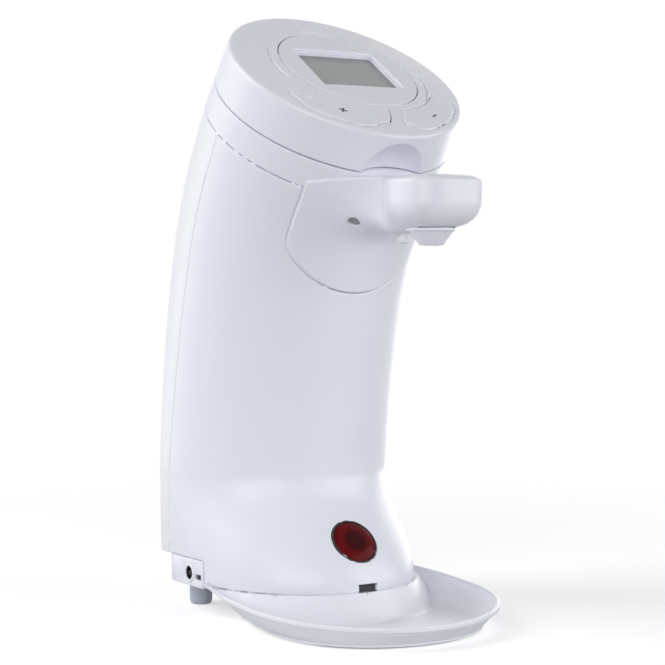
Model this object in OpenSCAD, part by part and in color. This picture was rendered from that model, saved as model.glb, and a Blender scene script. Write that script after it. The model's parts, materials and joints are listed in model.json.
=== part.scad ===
// Touchless soap dispenser that stands on a shelf or hangs on a wall.
// Units are millimetres. +Z is up, the front faces -Y, and Z = 0 is the surface under the feet
// and the drip tray. X = 0 is the plane of symmetry.

/* [Body] */
// Height of the centre of the lid's rim above the surface
head_z = 233.5; // [215:0.5:260]
// Lean of the lid, the collar and the top of the body from the vertical, in degrees
head_tilt = 33; // [25:1:38]
// Radius of the body tube
tube_r = 52.4; // [50:0.2:56]
// Wall thickness of the moulded shells
wall = 2.4; // [1.8:0.1:3]
// Plane of the flat back that goes against a wall
back_y = 78; // [76:0.5:82]
// How far the toe of the body runs forward at its foot
toe = 33; // [20:1:38]
// Radius of the body's outline at its foot
foot_r = 50.2; // [48:0.2:52]

/* [Lid] */
// Radius of the lid's rim
lid_r = 52; // [50:0.5:54]
// Height of the lid's side
lid_h = 18; // [15:0.5:22]
// Height of the collar under the lid
collar_h = 13; // [10:0.5:16]
// Radius of the display disc in the lid
disc_r = 31; // [29:0.5:33]
// Width of the display window
display_w = 40.5; // [34:0.5:42]
// Depth of the display window, front to back
display_d = 30.5; // [24:0.5:32]
// Travel of the two keys
key_travel = 1.2; // [0.8:0.1:1.5]

/* [Nozzle] */
// Half width of the nozzle cover
cover_half_w = 33; // [28:0.5:36]
// Top of the nozzle cover and its beak
beak_top = 189; // [186:0.5:190]
// Underside of the beak
beak_bottom = 167.5; // [165:0.5:170]
// Distance of the outlet in front of the lid's centre
outlet_y = 61; // [55:0.5:66]
// Radius of the beak's rounded tip
beak_r = 18.5; // [16:0.5:21]
// Radius of the outlet bore
outlet_bore_r = 1.6; // [1:0.1:2]

/* [Sensor] */
// Radius of the sensor window
window_r = 10.4; // [8:0.2:12]
// Height of the window's centre
window_z = 34.5; // [32:0.5:38]
// Upward lean of the window, in degrees
window_tilt = 40; // [36:1:44]

/* [Tray] */
// Half width of the drip tray
tray_r = 57; // [55:0.5:60]
// Centre of the tray's round front
tray_y = -14.5; // [-20:0.5:-10]
// Rear end of the tray
tray_back = 25; // [18:1:30]
// Height of the tray's rim at its rear end
tray_rim = 15.8; // [14:0.1:17]
// Wall thickness of the tray
tray_wall = 2.2; // [1.8:0.1:3]

/* [Base] */
// Underside of the base pan
base_z = 12.8; // [11:0.1:13.5]
// Height of the seam between body and tray
seam_z = 14.7; // [14:0.1:16]
// Top of the band at the rear of the base
band_z = 25; // [22:0.5:28]
// Radius of the rear corners of the band
band_corner = 17.5; // [12:0.5:22]

/* [Hidden] */
$fn = 72;

gap = 0.3;
white = "#e9ecef";
grey = "#9aa1a6";
black = "#1d1f22";
rad = 180 / PI;

// The spine of the body, measured by length s from the centre of the lid's rim: it is straight
// through the lid and collar, bends quickly under them, and then slowly towards the vertical.
bend_start = 45;
bend_end = 95;
mid_tilt = 15;
low_run = 115;
low_turn = 10;
level_s = 180;
bend_r = (bend_end - bend_start) / (head_tilt - mid_tilt) * rad;
slow_r = low_run / low_turn * rad;
seam1 = lid_h;
seam2 = lid_h + collar_h;
flare_top = 62.5;
flare_end = 15.8;

function straight(s) = [s * sin(head_tilt), head_z - s * cos(head_tilt)];
function arc(p, r, a0, a1) = p + r * [cos(a1) - cos(a0), sin(a1) - sin(a0)];
function tilt(s) = s < bend_start ? head_tilt :
    s < bend_end ? head_tilt - (s - bend_start) / bend_r * rad : mid_tilt - (s - bend_end) / slow_r * rad;
bend_p = straight(bend_start);
slow_p = arc(bend_p, bend_r, head_tilt, mid_tilt);
function spine(s) = s < bend_start ? straight(s) :
    s < bend_end ? arc(bend_p, bend_r, head_tilt, tilt(s)) : arc(slow_p, slow_r, mid_tilt, tilt(s));
function spine_at(z) = bend_end + (mid_tilt - asin(sin(mid_tilt) - (slow_p[1] - z) / slow_r)) / rad * slow_r;
// Lean of the cross-section at s: it is square to the spine above, and level in the lower body.
function lean(s) = s < bend_end ? tilt(s) : mid_tilt * max(0, 1 - (s - bend_end) / (level_s - bend_end));

function clamp(x) = min(1, max(0, x));
function ease(x) = clamp(x) * clamp(x) * (3 - 2 * clamp(x));
function radius(s) = lookup(s, [[0, lid_r], [seam2, tube_r + 1], [bend_end, tube_r]])
    - (tube_r - foot_r) * clamp((flare_top - spine(s)[1]) / (flare_top - seam_z));
function toe_out(s) = toe * ease((flare_top - spine(s)[1]) / (flare_top - flare_end));
corner = 11;
function soft_min(a, b) = let (h = clamp(0.5 + 0.5 * (b - a) / corner))
    b * (1 - h) + a * h - corner * h * (1 - h);
// One point of the cross-section at s, at the angle a from the front, inset from the outer face.
function section(s, a, inset) = let (
        p = spine(s),
        r = radius(s) - inset,
        c = cos(a),
        flat = (back_y - inset - p[0]) / cos(lean(s)),
        v = c > 0.001 ? -r * c - toe_out(s) * pow(c, 0.2) : soft_min(-r * c, flat)
    ) [r * sin(a), p[0] + v * cos(lean(s)), p[1] + v * sin(lean(s))];

// Triangles of a closed skin: m rows of n points outside, then the same again inside.
function grid(m, n, base, flip) = [
    for (j = [0:m - 2], i = [0:n - 2], half = [0, 1])
        let (a = base + j * n + i, q = half == 0 ? [a, a + 1, a + n + 1] : [a, a + n + 1, a + n])
        flip ? [q[0], q[2], q[1]] : q];
function strip(a, b) = [
    for (k = [0:len(a) - 2], half = [0, 1])
        half == 0 ? [a[k], a[k + 1], b[k + 1]] : [a[k], b[k + 1], b[k]]];
module skin(stations, angles, thick, lift = 0) {
    m = len(stations);
    n = len(angles);
    outer = [for (s = stations, a = angles) section(s, a, lift)];
    inner = [for (s = stations, a = angles) section(s, a, lift + thick)];
    total = m * n;
    top = [for (i = [0:n - 1]) i];
    bottom = [for (i = [0:n - 1]) (m - 1) * n + i];
    left = [for (j = [0:m - 1]) j * n];
    right = [for (j = [0:m - 1]) j * n + n - 1];
    polyhedron(concat(outer, inner), concat(
        grid(m, n, 0, false),
        grid(m, n, total, true),
        strip(top + [for (i = top) total], top),
        strip(bottom, bottom + [for (i = bottom) total]),
        strip(left, left + [for (j = left) total]),
        strip(right + [for (j = right) total], right)));
}
function span(a, b, n) = [for (i = [0:n]) a + (b - a) * i / n];

module in_head() translate([0, 0, head_z]) rotate([head_tilt, 0, 0]) children();
module disc(r, h0, h1) translate([0, 0, h0]) cylinder(r = r, h = h1 - h0);
module ring(ro, ri, h0, h1) difference() {
    disc(ro, h0, h1);
    disc(ri, h0 - 1, h1 + 1);
}
module block(x0, x1, y0, y1, z0, z1) translate([x0, y0, z0]) cube([x1 - x0, y1 - y0, z1 - z0]);
module mirrored() {
    children();
    mirror([1, 0, 0]) children();
}

// Outline of the nozzle cover, seen from the front: straight sides and a round lower edge.
cover_arc_z = 177.3;
cover_arc_r = 36.3;
cover_corner_z = 160;
module cover_outline(grow) {
    intersection() {
        translate([0, cover_arc_z]) circle(r = cover_arc_r + grow);
        translate([-cover_half_w - grow, 100]) square([2 * (cover_half_w + grow), cover_arc_z - 100]);
    }
    translate([-cover_half_w - grow, cover_corner_z])
        square([2 * (cover_half_w + grow), beak_top + grow - cover_corner_z]);
}
module cover_prism(grow) translate([0, 12, 0]) rotate([90, 0, 0]) linear_extrude(120) cover_outline(grow);

// Outline of the base at its foot, seen from above.
foot_y = 33.3;
module base_outline(inset) {
    r = foot_r - inset;
    rc = band_corner;
    rear = back_y - 1 - inset;
    intersection() {
        translate([0, foot_y]) circle(r = r);
        translate([-r, foot_y - r]) square([2 * r, r]);
    }
    translate([-r, foot_y]) square([2 * r, rear - rc - foot_y]);
    translate([-r + rc, foot_y]) square([2 * (r - rc), rear - foot_y]);
    mirrored() translate([r - rc, rear - rc]) circle(r = rc);
}

// --- Shells -----------------------------------------------------------------------------------
shell_s = concat(span(seam2 + gap, bend_end, 9), span(bend_end + 15, level_s, 5));
seam_s = spine_at(seam_z);
band_s = spine_at(band_z);
window_y = -6.2;
side_cut_y = 36;

module window_axis() translate([0, window_y, window_z]) rotate([90 - window_tilt, 0, 0]) children();
module jack_axis(y, z) translate([-foot_r, y, z]) rotate([0, 90, 0]) children();
jack_y = 48;
jack_z = 18.4;
switch_y = 40.6;
switch_z = 17.4;

module front_shell() {
    notch_w = 9;
    color(white) difference() {
        skin(concat(shell_s, span(level_s + 8, seam_s, 9)), span(-90, 90, 32), wall);
        cover_prism(gap);
        window_axis() disc(window_r + 0.9, -14, 14);
        block(-notch_w / 2, notch_w / 2, -40, 0, seam_z - 1, seam_z + 3);
        mirrored() block(38, 60, side_cut_y, 90, seam_z - 1, band_z);
    }
}

door_w = 68;
door_z0 = 28;
door_z1 = 98;
plate_w = 72;
plate_z0 = 106;
plate_z1 = 132;
module rear_shell() {
    color(white) difference() {
        skin(concat(shell_s, span(level_s + 8, band_s, 5)), span(90.2, 269.8, 36), wall);
        block(-door_w / 2, door_w / 2, 60, 90, door_z0, door_z1);
        block(-plate_w / 2, plate_w / 2, 60, 90, plate_z0, plate_z1);
    }
}

pan_t = 1.9;
pin_r = 1.5;
post_r = 3.6;
posts = [[37, 39], [38, 60]];
screw_r = 1.5;
module base_pan() {
    color(white) difference() {
        union() {
            translate([0, 0, base_z]) linear_extrude(pan_t) intersection() {
                base_outline(0);
                union() {
                    translate([0, foot_y]) circle(r = foot_r - 3.2);
                    translate([-60, side_cut_y + gap]) square([120, 60]);
                }
            }
            intersection() {
                translate([0, 0, base_z]) linear_extrude(band_z - gap - base_z) difference() {
                    base_outline(0);
                    base_outline(wall);
                }
                block(-60, 60, side_cut_y + gap, 90, 0, 40);
            }
            mirrored() translate([26, 3, 0]) disc(4.5, 2.6, base_z + 0.5);
        }
        jack_axis(jack_y, jack_z) disc(3.2, -2, 6);
        block(-60, -40, switch_y - 2.6, switch_y + 2.6, switch_z - 1.1, switch_z + 1.1);
        mirrored() for (p = posts) translate([p[0], p[1], 0]) {
            disc(1.7, base_z - 1, base_z + 5);
            disc(3.1, base_z - 1, base_z + 0.8);
        }
    }
}

// --- Head: collar, tank and lid ----------------------------------------------------------------
hinge_v = 51;
hinge_h = -14.6;
barrel_r = 3.2;
lug_w = 7;
knuckle_w = 15.7;
ledge = 20.4;
module hinge_axis() translate([0, hinge_v, hinge_h]) rotate([0, 90, 0]) children();
module collar_ring() {
    color(white) difference() {
        in_head() difference() {
            union() {
                rotate_extrude() polygon([
                    [radius(seam2) - wall, -seam2], [radius(seam2), -seam2],
                    [radius(seam1), -seam1 - gap], [radius(seam1) - wall, -seam1 - gap]]);
                ring(51.4, 40, -ledge - 2, -ledge);
                intersection() {
                    disc(51.4, -ledge - 2, -seam1 - gap);
                    block(-15, 15, -52, -43.5, -ledge - 2, -seam1 - gap);
                }
                hinge_axis() disc(barrel_r, -lug_w, lug_w);
                block(-lug_w, lug_w, 48.5, 52.8, -seam1 - 3, hinge_h);
            }
            translate([0, tank_off, 0]) disc(tank_r + gap, -40, -10);
            hinge_axis() disc(pin_r, -20, 20);
        }
        cover_prism(gap);
        block(-30, 30, -60, 8, 150, beak_top + gap);
    }
}

tank_r = 42.4;
tank_off = 2.6;
tank_t = 2;
tank_back = 70.5;
tank_z = 149;
tank_rim = 2.2;
tank_top = seam1 + 0.4;
sump_y = 40;
module tank_form(r, back, top, low) intersection() {
    in_head() translate([0, tank_off, 0]) disc(r, -110, top);
    block(-60, 60, -60, back, low, 260);
}
module tank() color("#dfe3e6") difference() {
    union() {
        tank_form(tank_r, tank_back, -tank_top, tank_z);
        in_head() translate([0, tank_off, 0]) disc(tank_r + tank_rim, -ledge, -tank_top);
        translate([0, sump_y, 0]) disc(3.6, tank_z - 6, tank_z + 1);
    }
    tank_form(tank_r - tank_t, tank_back - tank_t, 2, tank_z + tank_t);
    translate([0, sump_y, 0]) disc(2.2, tank_z - 7, tank_z + 4);
}

lid_top = 2.8;
key_in = 37.5;
key_out = 48.5;
key_a0 = 4;
key_a1 = 58;
board_h = 9.2;
board_t = 1.6;
switch_x = 23;
switch_v = -36;
module sector(r0, r1, a0, a1, h0, h1) translate([0, 0, h0]) linear_extrude(h1 - h0) difference() {
    intersection() {
        circle(r = r1);
        polygon([[0, 0], 90 * [sin(a0), -cos(a0)], 90 * [sin((a0 + a1) / 2), -cos((a0 + a1) / 2)],
            90 * [sin(a1), -cos(a1)]]);
    }
    circle(r = r0);
}
// Thumb recess in the front of the lid.
scoop_r = 26;
scoop_wall = 2;
module thumb_scoop(r) translate([0, -lid_r - 20, -20]) sphere(r = r);
module lid() color(white) in_head() difference() {
    union() {
        difference() {
            rotate_extrude() polygon([
                [radius(seam1), -seam1], [lid_r, -1.5], [lid_r - 0.6, -0.4], [lid_r - 2, 0.2],
                [disc_r + gap, lid_top], [disc_r + gap, 0.8], [28.5, 0.8], [28.5, -1.2],
                [49, -2.4], [50.2, -3.4], [radius(seam1) - 2.2, -seam1]]);
            block(-knuckle_w - gap, knuckle_w + gap, 46, 56, -seam1 - 1, hinge_h + 3.6);
            thumb_scoop(scoop_r);
        }
        difference() {
            intersection() {
                thumb_scoop(scoop_r + scoop_wall);
                disc(lid_r - 0.5, -seam1, -3);
            }
            thumb_scoop(scoop_r);
        }
        mirrored() hinge_axis() disc(barrel_r, lug_w + gap, knuckle_w);
        mirrored() block(lug_w + gap, knuckle_w, 49.6, 52.3, hinge_h, hinge_h + 4.2);
    }
    hinge_axis() disc(pin_r + 0.06, -20, 20);
    mirrored() sector(key_in - gap, key_out + gap, key_a0 - 0.4, key_a1 + 0.4, -5, 5);
}
module display_disc() color(white) in_head() difference() {
    union() {
        disc(disc_r, 0.85, lid_top);
        translate([0, 0, lid_top]) cylinder(r1 = disc_r, r2 = 22, h = 0.6);
    }
    block(-display_w / 2, display_w / 2, -display_d / 2, display_d / 2, 0, 5);
}
module display_lens() color("#aeb6b2") in_head() block(-21.5, 21.5, -16.5, 16.5, -0.5, 0.8);
module display_module() color("#8f9a93") in_head() {
    block(-22, 22, -17, 17, -5, -0.6);
    mirrored() for (v = [-12:4:12]) translate([19, v, 0]) disc(0.5, -board_h + board_t, -5);
}
module lid_board() color("#3f6b4a") in_head() difference() {
    disc(46.5, -board_h, -board_h + board_t);
    block(-20, 20, 43, 60, -20, 0);
    thumb_scoop(scoop_r + scoop_wall + gap);
}
module key_switches() color(black) in_head() mirrored() translate([switch_x, switch_v, -board_h + board_t]) {
    block(-3, 3, -3, 3, 0, 3);
    disc(1.7, 3, 3.8);
}
module key(side) in_head() difference() {
    mirror([side < 0 ? 1 : 0, 0, 0]) {
        sector(key_in, key_out, key_a0, key_a1, -1.2, 1.6);
        translate([switch_x, switch_v, 0]) disc(1.6, -2.4, -1);
    }
    translate([side * 23.2, -36.6, 1.3]) {
        block(-1.4, 1.4, -0.3, 0.3, 0, 2);
        if (side < 0) block(-0.3, 0.3, -1.4, 1.4, 0, 2);
    }
}
module plus_key() color(white) key(-1);
module minus_key() color(white) key(1);
liner_h = 11.7;
liner_t = 1.5;
module lid_liner() color(white) in_head() difference() {
    disc(50.2, -liner_h - liner_t, -liner_h);
    block(-17, 17, 46, 60, -20, 0);
    thumb_scoop(scoop_r + scoop_wall + gap);
}
module tank_gasket() color("#c9cdd2") in_head() translate([0, tank_off, 0])
    ring(tank_r + tank_rim, tank_r - 1.2, -seam1 - 0.1, -liner_h - liner_t);
module hinge_pin() color("#b9bdc2") in_head() hinge_axis() disc(pin_r, -knuckle_w + 0.2, knuckle_w - 0.2);

// --- Nozzle -----------------------------------------------------------------------------------
module tongue(r, z0, z1, tip) translate([0, 0, z0]) linear_extrude(z1 - z0) {
    translate([0, -outlet_y]) circle(r = r);
    polygon([[-r, -outlet_y], [r, -outlet_y], [r + tip, -30], [r + tip + 5, -14],
        [-r - tip - 5, -14], [-r - tip, -30]]);
}
feed_z = 177;
cone_h = 6.3;
tip_r = 3;
light_y = 42;
light_r = 2.9;
status_r = 2.2;
pipe_r = 3.2;
pipe_bore = 2.1;
pump_y0 = 24;
pump_port_z = 127;
module status_axis() translate([-12.4, -21.9, 170.7]) rotate([90 + head_tilt, 0, 0]) children();
cover_t = 2;
cover_lift = 0.8;
// Stretch of the body's wall behind the cover, as a solid to cut with.
module inside_body() skin(span(0, bend_end + 5, 10), span(-75, 75, 18), 32, 1.4);
module nozzle_cover() {
    color(white) difference() {
        union() {
            intersection() {
                skin(span(12, bend_end + 2, 14), span(-48, 48, 20), cover_t, -cover_lift);
                cover_prism(0);
                block(-60, 60, -90, 20, 100, beak_top);
            }
            difference() {
                tongue(beak_r, beak_bottom + 0.2, beak_top, 4);
                tongue(beak_r - cover_t, beak_bottom - 1, beak_top - cover_t, 4);
                inside_body();
            }
        }
        translate([0, 0, feed_z]) rotate([90, 0, 0]) disc(3.9, 0, 60);
        status_axis() disc(status_r, -8, 8);
    }
}
module spout_floor() {
    color(white) difference() {
        union() {
            tongue(beak_r - 2.1, beak_bottom, beak_bottom + 2, 3.9);
            translate([0, -outlet_y, beak_bottom - cone_h]) cylinder(r1 = 4.5, r2 = 9, h = cone_h);
        }
        translate([0, -outlet_y, 0]) disc(tip_r, beak_bottom - cone_h - 1, beak_bottom + 3);
        translate([0, -light_y, 0]) disc(light_r, beak_bottom - 1, beak_bottom + 3);
        skin(span(20, bend_end + 5, 8), span(-60, 60, 14), 32, -cover_lift - 0.5);
    }
}
module outlet_tip() color("#d7dbe0") translate([0, -outlet_y, 0]) difference() {
    disc(tip_r, beak_bottom - cone_h - 0.4, feed_z - pipe_r);
    disc(outlet_bore_r, beak_bottom - cone_h - 1, feed_z);
}
module guide_light() color("#dfe7ee") translate([0, -light_y, 0]) {
    disc(light_r, beak_bottom, beak_bottom + 3.4);
    translate([0, 0, beak_bottom]) intersection() {
        sphere(r = light_r);
        disc(4, -4, 0);
    }
}
module status_lens() color(grey) status_axis() disc(status_r, -3, -0.5);
// The feed pipe climbs between the tank and the shell, then runs forward through the beak.
pipe_path = [[-outlet_y, feed_z], [-16.6, feed_z], [1.3, 149], [9.5, pump_port_z], [pump_y0, pump_port_z]];
module pipe_run(r, elbow, extra) {
    for (k = [0:len(pipe_path) - 2]) {
        a = pipe_path[k];
        d = pipe_path[k + 1] - a;
        before = k == 0 ? extra : 0;
        after = k == len(pipe_path) - 2 ? extra : 0;
        translate([0, a[0], a[1]]) rotate([atan2(-d[0], d[1]), 0, 0]) disc(r, -before, norm(d) + after);
    }
    for (k = [1:len(pipe_path) - 2]) translate([0, pipe_path[k][0], pipe_path[k][1]]) sphere(r = elbow);
}
module feed_pipe() color("#cfd6d9") difference() {
    pipe_run(pipe_r, pipe_r + 0.5, 0);
    pipe_run(pipe_bore, pipe_bore + 0.4, 1);
}

// --- Inside -----------------------------------------------------------------------------------
board_z = 42;
gear_x = 8.2;
gear_y = 40;
pump_z0 = 119;
pump_z1 = 137;
deck_z = 111;
deck_t = 3;
shaft_r = 1.5;
run = 0.05;
module chassis() color("#c4c9cf") difference() {
    union() {
        block(-41, 41, 30, 64, deck_z, deck_z + deck_t);
        block(-27, 27, 25, 30, deck_z, deck_z + deck_t);
        mirrored() for (p = posts) translate([p[0], p[1], 0]) disc(post_r, base_z + pan_t, deck_z);
        mirrored() translate([0, 0, board_z]) linear_extrude(40)
            polygon([[26, 21], [28.4, 21], [36.5, 36], [34, 37], [26, 25]]);
    }
    translate([gear_x, gear_y, 0]) disc(4.2, deck_z - 1, deck_z + 4);
    mirrored() for (p = posts) translate([p[0], p[1], 0]) disc(screw_r, 0, base_z + 14);
}
module pump_housing() color("#b8bec4") difference() {
    union() {
        block(-22, 22, pump_y0, 56, pump_z0, pump_z1 - 4);
        mirrored() for (y = [28, 52]) translate([18, y, 0]) disc(2.5, deck_z + deck_t, pump_z0);
    }
    mirrored() translate([gear_x, gear_y, 0]) disc(9.3, pump_z0 + 2, pump_z1);
    mirrored() translate([gear_x, gear_y, 0]) disc(shaft_r + run, pump_z0 - 1, pump_z1);
    translate([0, pump_y0, pump_port_z]) rotate([-90, 0, 0]) disc(pipe_bore, -1, gear_y - pump_y0);
}
module pump_cover() color("#a9afb6") difference() {
    union() {
        block(-22, 22, pump_y0, 56, pump_z1 - 4, pump_z1);
        translate([0, sump_y, 0]) disc(3.6, pump_z1, pump_z1 + 4);
    }
    translate([0, sump_y, 0]) disc(2.2, pump_z1 - 5, pump_z1 + 5);
    mirrored() translate([gear_x, gear_y, 0]) disc(shaft_r + run, pump_z1 - 5, pump_z1 - 1.5);
}
module inlet_pipe() color("#cfd6d9") translate([0, sump_y, 0]) difference() {
    disc(4.8, pump_z1 + 0.4, tank_z - 0.4);
    disc(3.6, pump_z1, tank_z);
}
gear_teeth = 12;
module gear(phase) {
    difference() {
        translate([0, 0, pump_z0 + 2.4]) linear_extrude(pump_z1 - 4.4 - pump_z0 - 2.4) union() {
            circle(r = 7);
            for (i = [0:gear_teeth - 1]) rotate(phase + i * 360 / gear_teeth)
                polygon([[6, -1.1], [8.8, -0.5], [8.8, 0.5], [6, 1.1]]);
        }
        disc(shaft_r, 0, 200);
    }
}
module drive_gear() color("#d9b24c") translate([gear_x, gear_y, 0]) {
    gear(0);
    disc(shaft_r, deck_z + 5.6, pump_z1 - 1.8);
}
module idler_gear() color("#d9b24c") translate([-gear_x, gear_y, 0]) {
    gear(180 / gear_teeth);
    disc(shaft_r, pump_z0 + 0.5, pump_z1 - 1.8);
}
motor_z = 80;
module motor() color("#9ea4aa") translate([gear_x, gear_y, 0]) difference() {
    union() {
        disc(12.2, motor_z, deck_z);
        disc(3, motor_z - 2, motor_z);
    }
    disc(1 + run, deck_z - 9, deck_z + 1);
}
module motor_coupling() color("#c98a3c") translate([gear_x, gear_y, 0]) difference() {
    disc(3.5, deck_z + 1, pump_z0 - 0.4);
    disc(1, deck_z, deck_z + 5.6);
    disc(shaft_r, deck_z + 5.6, pump_z0);
}
module motor_shaft() color("#d0d4d8") translate([gear_x, gear_y, 0]) disc(1, deck_z - 8.5, deck_z + 5.4);

cell_r = 7.2;
cell_y = 66.5;
cell_z = 35;
cell_h = 49.5;
cell_x = [for (i = [-1.5:1:1.5]) i * 15.2];
module battery_holder() color(black) difference() {
    block(-31.5, 31.5, 57.2, 75.2, 31, 90);
    for (x = cell_x) translate([x, cell_y, 0]) {
        disc(cell_r + 0.2, 33, 88);
        block(-6.4, 6.4, 0, 12, 33, 88);
    }
}
module batteries() color("#5a5f66") for (x = cell_x) translate([x, cell_y, 0]) {
    disc(cell_r, cell_z, cell_z + cell_h);
    disc(2.6, cell_z + cell_h, cell_z + cell_h + 1);
}
module battery_contacts() color("#c8ccd0") for (x = cell_x) translate([x, cell_y, 0]) {
    for (k = [0:1]) translate([0, 0, 33.5 + k])
        rotate_extrude() translate([4 - k, 0]) circle(r = 0.45, $fn = 16);
    disc(3, 86.2, 88);
}
module battery_door() color(white) difference() {
    block(-door_w / 2 + gap, door_w / 2 - gap, back_y - 2.2, back_y, door_z0 + gap, door_z1 - gap);
    block(-9, 9, back_y - 0.8, back_y + 1, door_z1 - 12, door_z1 - 6);
}
module keyhole_plate() color("#b4b9be") difference() {
    block(-plate_w / 2 + gap, plate_w / 2 - gap, back_y - 2.2, back_y - 0.6, plate_z0 + gap, plate_z1 - gap);
    mirrored() translate([25, 0, 0]) {
        translate([0, back_y, 114]) rotate([90, 0, 0]) disc(4.4, -1, 4);
        translate([0, back_y, 122]) rotate([90, 0, 0]) disc(2.2, -1, 4);
        block(-2.2, 2.2, back_y - 4, back_y + 1, 114, 122);
    }
}
module main_board() color("#3f6b4a") translate([0, 22, board_z + 2]) {
    block(-26, 26, 0, 1.6, 0, 36);
    block(-8, 6, 1.6, 4, 8, 18);
    block(12, 18, 1.6, 3.4, 4, 10);
    mirrored() translate([21, 1.6, 26]) rotate([-90, 0, 0]) disc(3, 0, 3.6);
}
window_depth = 13;
module sensor_board() color("#3f6b4a") window_axis() difference() {
    block(-12.5, 12.5, -10, 10, -window_depth - 1.6, -window_depth);
    mirrored() translate([4.6, 0, 0]) for (v = [-1.3, 1.3]) translate([0, v, 0]) disc(0.35, -20, 0);
}
module led(x) window_axis() translate([x, 0, 0]) {
    disc(2.9, -window_depth + 0.6, -window_depth + 1.6);
    disc(2.5, -window_depth + 1.6, -window_depth + 6);
    translate([0, 0, -window_depth + 6]) intersection() {
        sphere(r = 2.5);
        disc(3, 0, 3);
    }
}
module ir_emitter() color("#6d5fa8") led(-4.6);
module ir_receiver() color(black) led(4.6);
module sensor_bezel() color(black) window_axis() {
    ring(window_r + 0.8, window_r, -2.2, 0.3);
    ring(window_r + 0.8, window_r - 0.8, -window_depth, -2.2);
}
module sensor_window() color("#6b1319") window_axis() {
    disc(window_r - 0.02, -2.2, 0);
    cylinder(r1 = window_r - 0.02, r2 = window_r - 4, h = 0.8);
}
module dc_jack() color(black) jack_axis(jack_y, jack_z) difference() {
    union() {
        disc(3.15, 0.2, 5);
        block(-3.4, 3.4, -4.5, 4.5, 5, 14);
    }
    ring(2.75, 1, -1, 10);
}
module power_switch() color(black) difference() {
    block(-foot_r + wall + 0.8, -41, switch_y - 4.4, switch_y + 2.6, base_z + pan_t, switch_z + 3);
    block(-foot_r, -44, switch_y - 3, switch_y + 3, switch_z - 1.2, switch_z + 1.2);
}
module switch_slider() color(black) {
    block(-foot_r - 0.5, -45, switch_y - 2.2, switch_y - 0.2, switch_z - 0.75, switch_z + 0.75);
}
module rear_feet() color("#aab1bb") mirrored() translate([30, 66, 0]) {
    cylinder(r1 = 4.6, r2 = 5.2, h = 1.2);
    disc(5.2, 1.2, base_z);
}
module tray_catch() color(black)
    block(-4.3, 4.3, foot_y - foot_r + 1.2, foot_y - foot_r + 6, base_z + pan_t, 17.5);
module case_screws() color("#b9bdc2") mirrored() for (p = posts) translate([p[0], p[1], 0]) difference() {
    union() {
        disc(3, base_z - 1, base_z + 0.8);
        disc(screw_r, base_z + 0.8, base_z + 13);
    }
    block(-0.4, 0.4, -2, 2, base_z - 2, base_z);
}

// --- Drip tray --------------------------------------------------------------------------------
tray_slope = 3.6;
tray_in = 8;
tray_turn = 8;
ramp_out = 7;
module bowl(inset, z0) {
    r = tray_r - inset;
    low = r - tray_in;
    translate([0, tray_y, z0]) cylinder(r1 = low, r2 = r, h = tray_turn);
    translate([0, tray_y, 0]) disc(r, z0 + tray_turn, 20);
    translate([0, tray_back, 0]) rotate([90, 0, 0]) linear_extrude(tray_back - tray_y) polygon([
        [-low, z0], [low, z0], [r, z0 + tray_turn], [r, 20], [-r, 20], [-r, z0 + tray_turn]]);
}
module drip_tray() color(white) {
    top = seam_z - gap;
    floor_t = 2.2;
    difference() {
        bowl(0, 0);
        difference() {
            bowl(tray_wall, floor_t);
            intersection() {
                translate([0, foot_y, 0]) cylinder(r1 = foot_r + ramp_out, r2 = foot_r, h = top);
                block(-80, 80, -80, tray_back, 0, top);
            }
        }
        translate([0, foot_y, floor_t])
            cylinder(r1 = foot_r + 3.2, r2 = foot_r - 2.2, h = top - floor_t + 0.01);
        translate([0, tray_back, tray_rim]) rotate([tray_slope, 0, 0]) block(-80, 80, -140, 10, 0, 20);
        block(-80, 80, tray_back, 60, -1, 30);
    }
}

front_shell();
rear_shell();
base_pan();
collar_ring();
nozzle_cover();
spout_floor();
outlet_tip();
guide_light();
status_lens();
chassis();
tank();
tank_gasket();
pump_housing();
pump_cover();
drive_gear();
idler_gear();
motor();
motor_coupling();
motor_shaft();
inlet_pipe();
feed_pipe();
battery_holder();
batteries();
battery_contacts();
battery_door();
keyhole_plate();
main_board();
sensor_board();
ir_emitter();
ir_receiver();
sensor_bezel();
sensor_window();
dc_jack();
power_switch();
switch_slider();
rear_feet();
tray_catch();
case_screws();
drip_tray();
lid();
display_disc();
display_lens();
display_module();
lid_board();
key_switches();
plus_key();
minus_key();
lid_liner();
hinge_pin();
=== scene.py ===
import json
import math

import bmesh
import bpy
import numpy as np
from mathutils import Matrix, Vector


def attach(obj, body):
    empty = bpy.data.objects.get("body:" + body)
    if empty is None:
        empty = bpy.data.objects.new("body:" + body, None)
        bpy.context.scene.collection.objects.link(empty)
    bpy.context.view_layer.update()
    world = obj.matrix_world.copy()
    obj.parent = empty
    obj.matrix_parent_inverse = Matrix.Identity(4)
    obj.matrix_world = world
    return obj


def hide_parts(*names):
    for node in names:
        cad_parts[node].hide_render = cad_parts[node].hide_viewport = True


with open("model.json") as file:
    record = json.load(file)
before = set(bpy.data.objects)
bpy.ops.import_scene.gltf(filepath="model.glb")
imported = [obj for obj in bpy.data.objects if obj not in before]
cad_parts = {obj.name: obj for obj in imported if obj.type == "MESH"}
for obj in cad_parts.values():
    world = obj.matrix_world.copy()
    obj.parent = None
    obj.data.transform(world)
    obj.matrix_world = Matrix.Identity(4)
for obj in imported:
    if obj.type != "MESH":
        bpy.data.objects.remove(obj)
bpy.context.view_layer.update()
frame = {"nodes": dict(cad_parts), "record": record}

# Lengths are millimetres, turned into metres by MM: +Z up, the front towards -Y, Z = 0 at the shelf.
MM = 0.001
PI = math.pi


def link(name, data):
    """A new object in the scene."""
    piece = bpy.data.objects.new(name, data)
    bpy.context.scene.collection.objects.link(piece)
    return piece


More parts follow.
